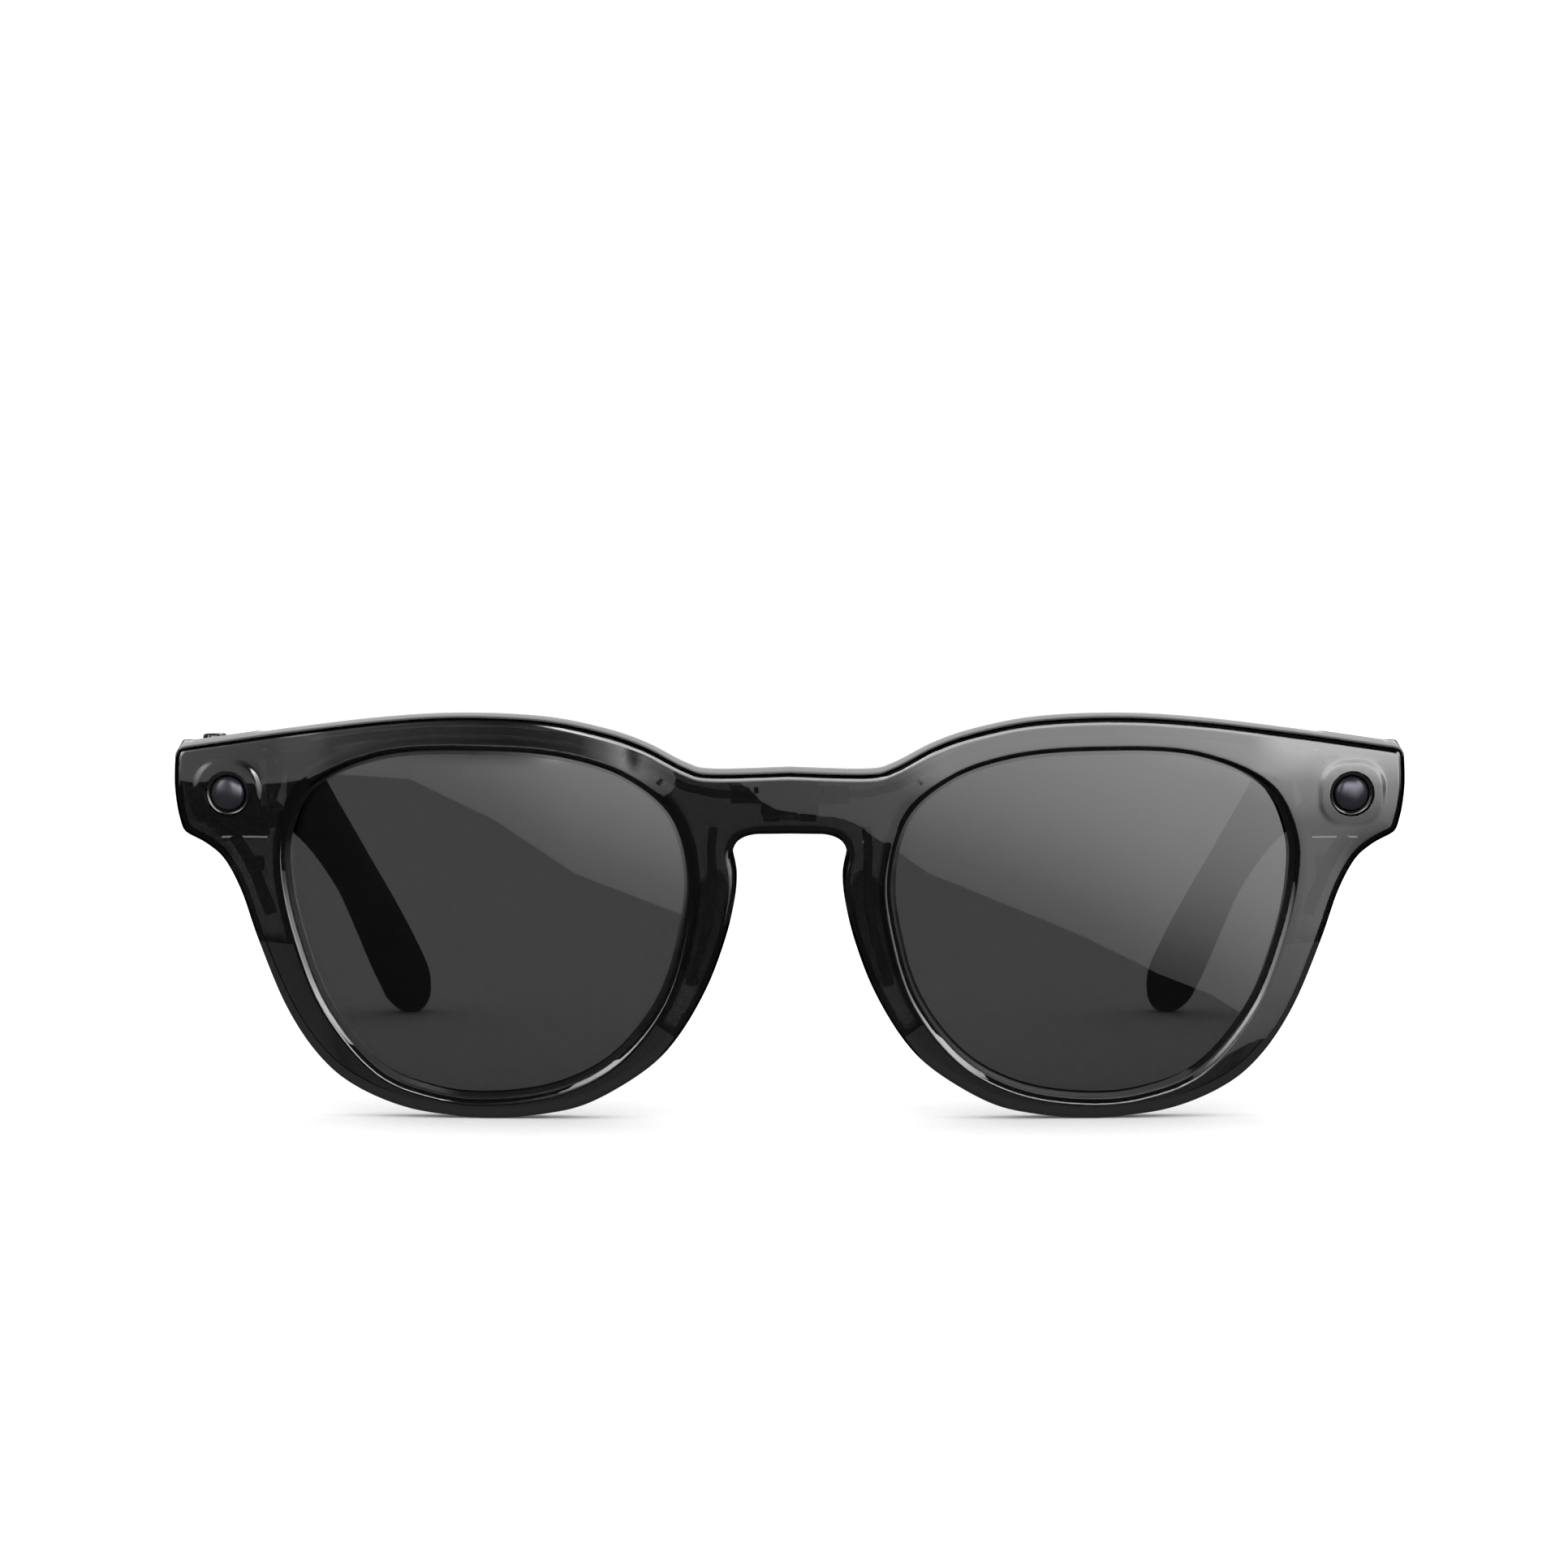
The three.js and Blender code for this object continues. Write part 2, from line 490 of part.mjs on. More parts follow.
function speakerGrille() {
  const { x, y, halfWidth, halfLength } = GRILLE;
  const strip = block([x - halfWidth, y - halfLength, -9], [x + halfWidth, y + halfLength, -5.6]);
  const holes = [-3, -1, 1, 3].map((step) =>
    block([x - 0.7, y + step - 0.5, -9], [x + 0.7, y + step + 0.5, -4]),
  );
  return cut(BODY.intersect(strip), ...holes);
}
const tipCore = () => armTube(CORE.from, CORE.to, 6, 8, roundSize(CORE.diameter));
const templeMic = () => block([2.7, 20.4, -4.75], [4.9, 23.6, -3.9]);
const templeFlex = () => block([5.5, 1, -1.9], [5.7, 13, 1]);

// Wearer's right temple: main board, touch strip and capture button.
const BUTTON = { x: 6.7, near: 6.5, far: 15.5, halfWidth: 1.15, top: 5.75, base: 3.2 };
function pill(grow, from, to) {
  const half = BUTTON.halfWidth + grow;
  const ends = [BUTTON.near + BUTTON.halfWidth, BUTTON.far - BUTTON.halfWidth];
  return join(
    ...ends.map((y) => rod("z", [BUTTON.x, y, 0], half, from, to, COARSE)),
    block([BUTTON.x - half, ends[0], from], [BUTTON.x + half, ends[1], to]),
  );
}
const buttonRoom = () => join(pill(GAP, 3, 8), pill(0.8, 1.3, 3.9));
const captureButton = () => join(pill(0, 3.4, BUTTON.top), pill(0.4, 2.6, 3.4));
const buttonSwitch = () => join(block([6, 9, 1.6], [7.5, 13, 1.8]), rod("z", [6.7, 11, 0], 0.6, 1.7, 1.95));
const mainBoard = () => block([1.4, 17, -4.3], [2.2, 57, 2.7]);
const shieldCan = () => join(block([2.5, 20, -3.5], [3.8, 31, 2.3]), block([2.5, 30, -3], [3.5, 43, 1.8]));
const touchStrip = () => block([6.2, 17, -3.8], [6.45, 34, 2.1]);

// Wearer's left temple: battery and power switch.
const SWITCH = { near: 13, far: 17.4, low: -1.6, high: 0.2, travel: 2.2 };
const battery = () => block([0.7, 24, -4.1], [4.8, 55, 2.6]);
const switchRoom = () =>
  block([-5, SWITCH.near - GAP, SWITCH.low - GAP], [3, SWITCH.far + SWITCH.travel + GAP, SWITCH.high + GAP]);
const powerSlider = () =>
  join(
    block([-2.1, SWITCH.near, SWITCH.low], [0.5, SWITCH.far, SWITCH.high]),
    block([0.05, SWITCH.near - 1, SWITCH.low - 0.8], [0.6, SWITCH.far + 1, SWITCH.high + 0.8]),
  );
const switchBoard = () => block([1, 11, -3.6], [1.6, 22, 2]);

// ---- the object ----
function mesh(name, body, material) {
  const made = new THREE.Mesh(geometryOf(body), material);
  made.name = name;
  return made;
}

const glasses = new THREE.Group();
const front = new THREE.Group();
front.rotation.x = FRONT_LEAN;
glasses.add(front);

front.add(mesh("front_shell", frontShell(), smokeShell));
front.add(mesh("rear_cover", rearCover(), smokeShell));
front.add(mesh("bridge_plate", bridgePlate(), steel));
front.add(mesh("front_flex", frontFlex(), flexFoil));
front.add(mesh("bridge_mic", block([-1.4, 3.1, 37.2], [1.4, 3.9, 38.7]), foilCell));

for (const [side, sign] of [["left", 1], ["right", -1]]) {
  const half = new THREE.Group(); // everything that both sides of the front share
  half.scale.x = sign;
  front.add(half);
  half.add(mesh(`lens_${side}`, lensBody(LENS_OVERLAP, 0), lensTint));
  half.add(mesh(`nose_pad_${side}`, nosePad(), clearPad));
  half.add(mesh(`charge_contact_${side}`, contactPad(CONTACTS[0]), gold));
  half.add(mesh(`side_antenna_${side}`, sideAntenna(), flexFoil));
  half.add(mesh(`nose_antenna_${side}`, noseAntenna(), flexFoil));

  const endPiece = new THREE.Group();
  endPiece.applyMatrix4(endPieceMatrix);
  half.add(endPiece);
  if (side === "left") {
    endPiece.add(mesh("camera_bezel", bezel(), glossBlack));
    endPiece.add(mesh("camera_glass", windowGlass(), darkGlass));
    endPiece.add(mesh("camera_module", cameraModule(), satinBlack));
  } else {
    endPiece.add(mesh("light_bezel", bezel(), glossBlack));
    endPiece.add(mesh("light_glass", windowGlass(), darkGlass));
    endPiece.add(mesh("light_ring", lightRing(), lightPipe));
    endPiece.add(mesh("light_board", lightBoard(), board));
  }

  const hinge = new THREE.Group();
  hinge.applyMatrix4(hingeMatrix);
  half.add(hinge);
  hinge.add(mesh(`hinge_bracket_${side}`, frontLeaf(), steel));
  hinge.add(mesh(`hinge_pin_${side}`, hingePin(), steel));

  const temple = new THREE.Group();
  hinge.add(temple);
  const opening = side === "left" ? switchRoom() : buttonRoom();
  temple.add(mesh(`temple_shell_${side}`, templeShell(opening), glossBlack));
  temple.add(mesh(`temple_cover_${side}`, innerCover(opening), satinBlack));
  temple.add(mesh(`hinge_arm_${side}`, armLeaf(), steel));
  SCREW_HEIGHTS.forEach((z, i) => {
    const place = i === 0 ? "lower" : "upper";
    hinge.add(mesh(`bracket_screw_${place}_${side}`, leafScrew(FRONT_PLATE, z), steel));
    temple.add(mesh(`arm_screw_${place}_${side}`, leafScrew(ARM_PLATE, z), steel));
  });
  temple.add(mesh(`speaker_${side}`, speaker(), satinBlack));
  temple.add(mesh(`speaker_grille_${side}`, speakerGrille(), steel));
  temple.add(mesh(`tip_core_${side}`, tipCore(), steel));
  temple.add(mesh(`temple_mic_${side}`, templeMic(), foilCell));
  temple.add(mesh(`temple_flex_${side}`, templeFlex(), flexFoil));
  if (side === "left") {
    temple.add(mesh("battery", battery(), foilCell));
    temple.add(mesh("power_slider", powerSlider(), glossBlack));
    temple.add(mesh("switch_board", switchBoard(), board));
  } else {
    temple.add(mesh("main_board", mainBoard(), board));
    temple.add(mesh("shield_can", shieldCan(), steel));
    temple.add(mesh("touch_strip", touchStrip(), flexFoil));
    temple.add(mesh("capture_button", captureButton(), glossBlack));
    temple.add(mesh("button_switch", buttonSwitch(), steel));
  }
}

// The origin is on the table under the middle of the whole object.
const size = new THREE.Box3().setFromObject(glasses, true);
front.position.set(0, -(size.min.y + size.max.y) / 2, -size.min.z);

export default glasses;
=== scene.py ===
import json
import math

import bmesh
import bpy
import numpy as np
from mathutils import Matrix, Vector
from mathutils.geometry import delaunay_2d_cdt
from mathutils.kdtree import KDTree


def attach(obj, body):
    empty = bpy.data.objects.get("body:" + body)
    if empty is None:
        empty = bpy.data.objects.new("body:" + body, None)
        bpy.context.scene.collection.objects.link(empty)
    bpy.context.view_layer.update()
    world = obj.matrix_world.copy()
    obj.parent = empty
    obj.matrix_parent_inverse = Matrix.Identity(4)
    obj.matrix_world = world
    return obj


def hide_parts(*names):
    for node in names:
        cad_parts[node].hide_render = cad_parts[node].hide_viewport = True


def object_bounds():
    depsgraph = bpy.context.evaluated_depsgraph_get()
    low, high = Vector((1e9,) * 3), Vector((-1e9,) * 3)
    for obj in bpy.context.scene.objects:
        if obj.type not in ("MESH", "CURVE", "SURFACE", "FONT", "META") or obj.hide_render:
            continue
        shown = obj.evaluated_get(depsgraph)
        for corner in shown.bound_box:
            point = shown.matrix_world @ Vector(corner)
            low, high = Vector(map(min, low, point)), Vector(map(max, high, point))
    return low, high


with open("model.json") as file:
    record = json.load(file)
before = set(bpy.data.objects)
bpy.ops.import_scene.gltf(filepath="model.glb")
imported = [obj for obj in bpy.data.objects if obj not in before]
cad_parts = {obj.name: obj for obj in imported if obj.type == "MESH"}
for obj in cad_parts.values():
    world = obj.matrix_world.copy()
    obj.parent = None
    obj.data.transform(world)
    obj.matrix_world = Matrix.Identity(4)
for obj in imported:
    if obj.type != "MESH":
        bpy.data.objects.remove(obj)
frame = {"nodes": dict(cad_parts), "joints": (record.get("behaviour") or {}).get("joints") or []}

cad_box = [list(corner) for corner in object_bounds()]
scene = bpy.context.scene
nodes = frame["nodes"]
MM = 0.001

# ---- driving dimensions, in millimetres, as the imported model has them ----
LEAN = math.radians(7)  # the front's top leans forward
ARM_SLOPE = math.radians(2.5)  # the temples fall towards the ears
WRAP_RADIUS = 450  # the front curves back towards the temples
FRONT_DEPTH = 5.4
SHELL_BACK = 3.0  # rear of the front shell's walls
COVER_FRONT = 3.12  # front of the rear cover
SKIN = 1.3  # wall of the front shell over the electronics
COVER_SKIN = 1.0  # wall of the rear cover over them
RIM_WALL = 1.0  # side wall of the hollow
GROOVE = 0.98  # depth of the lens groove, outwards from the opening
GROOVE_SLACK = 0.06  # room in it in front of the lens and behind it
HOLLOW_EDGE = 1.45  # the hollow starts this far from an opening
HOLLOW_INSET = 0.8  # and this far from the edge of the rear cover
COVER_SLACK = 0.06  # half the line between the front shell and the rear cover
LENS_MIDDLE = 2.7  # middle of the lens at its edge, behind the rim's front
LENS_HALF = 0.9  # half its thickness
LENS_RADIUS = 220
LENS_CENTRE = (37.0, 24.0)
LENS_REACH = 23  # from its centre to its edge
HINGE = Vector((65.6, 16, 39.8))  # hinge axis, in the front's own frame
CAMERA_AT = (68.7, 40.0)  # centre of the camera and of the light, on the front
END_PIECE = {"in": 1.5, "low": 33.7, "high": 47.0, "out": 80}  # the part of the front that carries the hinge
END_GAP = 0.16  # from the hinge axis to the rear of the end piece
END_TOP, END_BOTTOM = 5.05, 6.5  # above and below the hinge axis
END_ROUND = 0.6
END_ROOM = 6.6  # depth where its solid part starts

# ---- the shapes that catch the light ----
EDGE_ROUND = 0.9
CHAMFER_WIDTH, CHAMFER_SLOPE, CHAMFER_BLEND = 0.5, 0.75, 0.05
CROWN_WIDTH, CROWN_FALL = 4.5, 0.2
CROWN_TOP, CROWN_FADE = 39, 8  # the crown fades out below this height
BRIDGE_TILT, BRIDGE_TILT_FROM = 0.0145, 35
BROW_FROM, BROW_BLEND = 12, 8  # where the brow starts beside the bridge
BROW_CURVE, BROW_CURVE_FROM = 0.0131, 39.2
BROW_TILT, BROW_TILT_FROM = 0.105, 43.2
END_FROM, END_BLEND = 56, 7  # where the end piece takes over from the brow
END_CURVE, END_CURVE_FROM = 0.0085, 36.5
WINDOW_HOLE = 2.78
BOSS_HALF, BOSS_ROUND, BOSS_HEIGHT, BOSS_EDGE = 3.95, 3.2, 0.13, 0.45
BOSS_FOOT, BOSS_FADE = 4.5, 6  # the boss fades out towards its foot
LENS_EDGE = 0.92  # of the lens that lies in the groove
LENS_SHADE_BAND = 0.6  # of its black edge that shows inside the opening: painted shade where the rim's inner wall darkens the lens

# ---- frames of the front, the temple, the hinge and the window ----
joints = {joint["name"]: joint for joint in frame["joints"]}
pivot = Vector(joints["left_temple_fold"]["pos_m"]) / MM
front_matrix = Matrix.Translation(pivot) @ Matrix.Rotation(LEAN, 4, "X") @ Matrix.Translation(-HINGE)
temple_matrix = Matrix.Translation(pivot) @ Matrix.Rotation(-ARM_SLOPE, 4, "X")
hinge_matrix = Matrix.Translation(HINGE) @ Matrix.Rotation(-ARM_SLOPE - LEAN, 4, "X")
window_at = (CAMERA_AT[0], CAMERA_AT[0] ** 2 / (2 * WRAP_RADIUS), CAMERA_AT[1])
window_turn = Matrix.Rotation(math.atan(CAMERA_AT[0] / WRAP_RADIUS), 4, "Z")
window_matrix = Matrix.Translation(window_at) @ window_turn
MIRROR = Matrix.Scale(-1, 4, (1, 0, 0))


# ---- curves ----
def hermite(p1, p2, a, b, t):
    """The point at (t) between p1 and p2, with the directions (a) and (b) there."""
    return (2 * p1 - 2 * p2 + a + b) * t**3 + (-3 * p1 + 3 * p2 - 2 * a - b) * t**2 + a * t + p1


def spline(points, per):
    """Points along a uniform Catmull-Rom curve through (points), (per) to a stretch."""
    points = [np.array(p, float) for p in points]
    out = []
    last = len(points) - 1
    for i in range(last):
        p0, p1 = points[max(i - 1, 0)], points[i]
        p2, p3 = points[i + 1], points[min(i + 2, last)]
        for k in range(per):
            out.append(hermite(p1, p2, (p2 - p0) / 2, (p3 - p1) / 2, k / per))
    out.append(points[-1])
    return out


def centripetal(points, closed, count):
    """Points along a centripetal Catmull-Rom curve, evenly spaced in its parameter."""
    points = [np.array(p, float) for p in points]
    n = len(points)
    spans = n if closed else n - 1
    steps = count if closed else count - 1
    out = []
    for k in range(count):
        place = k / steps * spans
        i = min(int(place), spans - 1)
        p1, p2 = points[i], points[(i + 1) % n]
        p0 = points[i - 1] if closed or i > 0 else 2 * p1 - p2
        p3 = points[(i + 2) % n] if closed or i + 2 < n else 2 * p2 - p1
        pairs = ((p0, p1), (p1, p2), (p2, p3))
        d0, d1, d2 = (max(float(np.sum((b - a) ** 2)) ** 0.25, 1e-4) for a, b in pairs)
        a = ((p1 - p0) / d0 - (p2 - p0) / (d0 + d1) + (p2 - p1) / d1) * d1
        b = ((p2 - p1) / d1 - (p3 - p1) / (d1 + d2) + (p3 - p2) / d2) * d1
        out.append(hermite(p1, p2, a, b, place - i))
    return out


def bend(a, corner, b, count=6):
    """Points along a rounded corner."""
    a, corner, b = (np.array(p, float) for p in (a, corner, b))
    return [(1 - t) ** 2 * a + 2 * t * (1 - t) * corner + t * t * b for t in np.linspace(0, 1, count)]


def even(points, step, closed=True):
    """The same line with its points (step) apart."""
    points = np.array(points)
    if closed:
        points = np.vstack([points, points[:1]])
    length = np.concatenate([[0], np.cumsum(np.linalg.norm(np.diff(points, axis=0), axis=1))])
    count = max(int(round(length[-1] / step)), 3)
    at = np.linspace(0, length[-1], count + 1)
    out = np.stack([np.interp(at, length, points[:, k]) for k in range(points.shape[1])], 1)
    return out[:-1] if closed else out


def front_outline():
    """Over one brow from the bridge's top to the end piece, round the lens and up the nose, then mirrored."""
    half = spline(
        [(0, 43.55), (9.4, 43.3), (12.6, 44.05), (17.4, 46.5), (22.4, 48.2), (29.8, 49.6), (39.8, 49.95),
         (49.8, 49.25), (61.9, 47.55), (74.2, 45.5)], 8)
    half += bend((74.2, 45.5), (75.1, 45.3), (75.2, 44.4))[1:]
    half += spline([(75.2, 44.4), (75.3, 41), (75, 38), (74.5, 35.8)], 6)[1:]
    half += bend((74.5, 35.8), (74.3, 35), (73.5, 34.65))[1:]
    half += spline(
        [(73.5, 34.65), (71.3, 33.5), (69.2, 31.6), (67.2, 27.7), (65.2, 21.7), (61.95, 13.65), (58.05, 7.6),
         (53.4, 3.7), (46.3, 0.95), (37.2, -0.05)], 8)[1:]
    half += spline(
        [(37.2, -0.05), (30.2, 0.65), (24.4, 2.2), (17.65, 6.3), (13.7, 10.45), (10.2, 16.5), (7.9, 22.6),
         (6.75, 27.4), (6.45, 30.5), (6.95, 33.2)], 8)[1:]
    half += bend((6.95, 33.2), (7, 35.5), (4, 35.8), 10)[1:]
    half += [np.array((0, 35.85))]
    other = [p * (-1, 1) for p in half[1:-1]][::-1]
    return even(half + other, 0.55)


OPENING_THROUGH = [
    (37.3, 45.8), (27, 45), (19.7, 42.55), (14.45, 38), (12.3, 30.3), (13.4, 21.7), (15.5, 15.3),
    (19.15, 9.85), (23.15, 6.3), (29.2, 3.6), (37.3, 2.5), (43.1, 3), (50, 5.6), (56.5, 13.15),
    (59.85, 21.4), (61.6, 29.5), (61.5, 34.7), (58.6, 40.8), (50, 44.9)]
OUTLINE = front_outline()
OPENING = even(centripetal(OPENING_THROUGH, True, 400), 0.6)
OPENINGS = [OPENING, (OPENING * (-1, 1))[::-1]]
# the part of the front that the rear cover closes
COVERED_HALF = [(0, 60), (80, 60), (80, 22.8), (59, 21), (37, 30), (18, 13.2), (12.2, 8.9), (0, 8.9)]
COVERED = np.array(COVERED_HALF + [(-x, z) for x, z in COVERED_HALF[1:-1]][::-1], float)


# ---- plane geometry ----
TREES = {}  # search trees of the lines that distances were asked to


def divided(loop, step):
    """A closed line with points at most (step) apart, its own points among them."""
    out = []
    for a, b in zip(loop, np.roll(loop, -1, axis=0)):
        parts = max(int(math.ceil(np.linalg.norm(b - a) / step)), 1)
        out += [a + (b - a) * k / parts for k in range(parts)]
    return np.array(out)


def gap_to(points, loop):
    """Distance from each of (points) to a closed line."""
    key = loop.tobytes()
    if key not in TREES:
        near = divided(loop, 0.7)
        tree = KDTree(len(near))
        for i, (x, z) in enumerate(near):
            tree.insert((x, z, 0), i)
        tree.balance()
        TREES[key] = (near, tree)
    near, tree = TREES[key]
    at = np.array([tree.find((x, z, 0))[1] for x, z in points])
    middle = near[at]
    out = np.full(len(points), np.inf)
    for step in (1, -1):
        span = near[(at + step) % len(near)] - middle
        share = np.clip(((points - middle) * span).sum(1) / np.maximum((span**2).sum(1), 1e-12), 0, 1)
        out = np.minimum(out, np.linalg.norm(points - middle - span * share[:, None], axis=1))
    return out


def inside(points, loop):
    """Whether each of (points) lies inside a closed line."""
    x, z = points[:, 0:1], points[:, 1:2]
    x0, z0 = loop[:, 0], loop[:, 1]
    x1, z1 = np.roll(x0, -1), np.roll(z0, -1)
    crosses = (z0 > z) != (z1 > z)
    with np.errstate(divide="ignore", invalid="ignore"):
        at = (x1 - x0) * (z - z0) / (z1 - z0) + x0
    return (crosses & (x < at)).sum(1) % 2 == 1


def signed(points, loop):
    """Distance to a closed line, above 0 inside it."""
    return np.where(inside(points, loop), 1, -1) * gap_to(points, loop)


def offset(loop, distance):
    """A closed line moved outwards, or inwards where distance is below 0."""
    area = np.sum(loop[:, 0] * np.roll(loop[:, 1], -1) - np.roll(loop[:, 0], -1) * loop[:, 1])
    turn = 1 if area > 0 else -1

    def normal(a, b):
        along = (b - a) / np.maximum(np.linalg.norm(b - a, axis=1, keepdims=True), 1e-9)
        return np.stack([along[:, 1], -along[:, 0]], 1) * turn

    one = normal(np.roll(loop, 1, axis=0), loop)
    two = normal(loop, np.roll(loop, -1, axis=0))
    moved = loop + (one + two) * (distance / (1 + (one * two).sum(1)))[:, None]
    return moved[gap_to(moved, loop) > abs(distance) * 0.985]


def ring(centre, radius, count):
    """A circle of points."""
    turn = np.arange(count) * 2 * math.pi / count
    return np.stack([centre[0] + radius * np.cos(turn), centre[1] + radius * np.sin(turn)], 1)


def rounded_square(centre, half, radius):
    """A closed line round a square with rounded corners."""
    out = []
    for k, (sx, sz) in enumerate(((1, 1), (-1, 1), (-1, -1), (1, -1))):
        for turn in np.linspace(0, math.pi / 2, 9):
            a = turn + k * math.pi / 2
            out.append((centre[0] + sx * (half - radius) + radius * math.cos(a),
                        centre[1] + sz * (half - radius) + radius * math.sin(a)))
    return np.array(out)


def smooth(t):
    """A soft step from 0 to 1."""
    t = np.clip(t, 0, 1)
    return t * t * (3 - 2 * t)


def wrap(x):
    """How far the front has curved back at (x)."""
    return x * x / (2 * WRAP_RADIUS)


def round_over(distance, radius):
    """How far a rounded edge falls back at (distance) from it."""
    d = np.clip(distance, 0, radius)
    return radius - np.sqrt(np.maximum(radius**2 - (radius - d) ** 2, 0))


# ---- meshes ----
def new_mesh(name, verts, faces, matrix=Matrix.Identity(4), mirror=False):
    """An object from millimetres in its own frame, placed in the row's frame."""
    place = (MIRROR if mirror else Matrix.Identity(4)) @ matrix
    points = [(place @ Vector(v)) * MM for v in verts]
    faces = [tuple(reversed(f)) for f in faces] if mirror else [tuple(f) for f in faces]
    mesh = bpy.data.meshes.new(name)
    mesh.from_pydata([tuple(p) for p in points], [], faces)
    mesh.validate()
    made = bpy.data.objects.new(name, mesh)
    scene.collection.objects.link(made)
    return made


def tidy_normals(obj, angle=35):
    """Merges doubled points, turns all faces out and shades them smooth up to (angle)."""
    bm = bmesh.new()
    bm.from_mesh(obj.data)
    bmesh.ops.remove_doubles(bm, verts=bm.verts, dist=1e-7)
    bmesh.ops.recalc_face_normals(bm, faces=bm.faces)
    bm.to_mesh(obj.data)
    bm.free()
    obj.data.shade_smooth()
    obj.data.set_sharp_from_angle(angle=math.radians(angle))
    return obj


def layered(name, loops, extra, classify, surfaces, depths, matrix):
    """A body made of layers over the X-Z plane. (loops) are closed lines that the mesh follows and (extra)
    loose points. (classify) gives each place a class. (surfaces) lists, class by class, the depths between
    which it is solid, as names of depth functions."""
    points, edges = [], []
    for loop in loops:
        start = len(points)
        count = len(loop)
        points += [tuple(p) for p in loop]
        edges += [(start + i, start + (i + 1) % count) for i in range(count)]
    points += [tuple(p) for p in extra]
    made = delaunay_2d_cdt([Vector(p) for p in points], edges, [], 0, 1e-4)
    flat = np.array([tuple(v) for v in made[0]])
    triangles = [tuple(f) for f in made[2]]
    middles = np.array([flat[list(f)].mean(0) for f in triangles])
    classes = classify(middles)
    kept = [(f, c) for f, c in zip(triangles, classes) if c is not None and surfaces[c]]
    used = {s for layers in surfaces.values() for s in layers}
    depth = {s: depths[s](flat) for s in sorted(used)}
    verts, index = [], {}

    def vertex(p, s):
        key = (p, s)
        if key not in index:
            index[key] = len(verts)
            verts.append((flat[p][0], depth[s][p], flat[p][1]))
        return index[key]

    faces = []
    sides = {}
    for f, c in kept:
        (x0, z0), (x1, z1), (x2, z2) = flat[f[0]], flat[f[1]], flat[f[2]]
        f = f if (x1 - x0) * (z2 - z0) > (z1 - z0) * (x2 - x0) else f[::-1]
        for k, s in enumerate(surfaces[c]):
            face = [vertex(p, s) for p in f]
            faces.append(face if k % 2 == 0 else face[::-1])
        for k in range(3):
            a, b = f[k], f[(k + 1) % 3]
            sides.setdefault((min(a, b), max(a, b)), []).append((c, a, b))
    walls = []
    at_line = {}
    for (a, b), near in sides.items():
        one = near[0][0]
        two = near[1][0] if len(near) > 1 else None
        if one == two:
            continue
        lists = [list(surfaces[one]), list(surfaces[two]) if two is not None else []]
        odd = [s for s in lists[0] if s not in lists[1]] + [s for s in lists[1] if s not in lists[0]]
        odd.sort(key=lambda s: depth[s][a] + depth[s][b])
        for s, t in zip(odd[0::2], odd[1::2]):
            middle = (depth[s][a] + depth[s][b] + depth[t][a] + depth[t][b]) / 4
            solid_one = any(
                depth[p][a] + depth[p][b] < 2 * middle < depth[q][a] + depth[q][b]
                for p, q in zip(lists[0][0::2], lists[0][1::2]))
            _, i, j = near[0] if solid_one else (near[1] if len(near) > 1 else near[0])
            walls.append((i, j, s, t))
            for p in (a, b):
                at_line.setdefault(p, set()).update((s, t))
    for i, j, s, t in walls:
        def between(p):
            low, high = depth[s][p], depth[t][p]
            found = [u for u in at_line[p] if low + 1e-6 < depth[u][p] < high - 1e-6]
            return sorted(found, key=lambda u: depth[u][p])
        face = [vertex(i, s), vertex(j, s)] + [vertex(j, u) for u in between(j)]
        face += [vertex(j, t), vertex(i, t)] + [vertex(i, u) for u in reversed(between(i))]
        face = [v for k, v in enumerate(face) if v != face[k - 1]]
        if len(face) > 2:
            faces.append(face[::-1])
    return tidy_normals(new_mesh(name, verts, faces, matrix))


def belt(a, b, sides):
    """Faces between two rings of points that start at (a) and at (b)."""
    return [(a + k, a + (k + 1) % sides, b + (k + 1) % sides, b + k) for k in range(sides)]


def lathe(name, profile, matrix, sides, mirror):
    """A body turned round the Y axis from (radius, depth) pairs. Off the axis, they end where they start."""
    closed = profile[0] == profile[-1]
    rings = profile[:-1] if closed else profile
    verts = []
    for radius, y in rings:
        for k in range(sides):
            turn = 2 * math.pi * k / sides
            verts.append((radius * math.cos(turn), y, radius * math.sin(turn)))
    faces = []
    count = len(rings)
    for i in range(count if closed else count - 1):
        faces += belt(i * sides, (i + 1) % count * sides, sides)
    return tidy_normals(new_mesh(name, verts, faces, matrix, mirror))


def tube(name, rings, matrix=Matrix.Identity(4), mirror=False, angle=35):
    """A closed body through (rings) of equal count, with flat ends."""
    sides = len(rings[0])
    verts = [tuple(p) for ring_points in rings for p in ring_points]
    faces = []
    for i in range(len(rings) - 1):
        faces += belt(i * sides, (i + 1) * sides, sides)
    faces.append(tuple(range(sides)))
    faces.append(tuple((len(rings) - 1) * sides + k for k in range(sides)))
    return tidy_normals(new_mesh(name, verts, faces, matrix, mirror), angle)


def box_mesh(name, low, high, matrix=Matrix.Identity(4), mirror=False):
    """A box between two corners."""
    (x0, y0, z0), (x1, y1, z1) = low, high
    rings = [[(x0, y, z0), (x1, y, z0), (x1, y, z1), (x0, y, z1)] for y in (y0, y1)]
    return tube(name, rings, matrix, mirror)


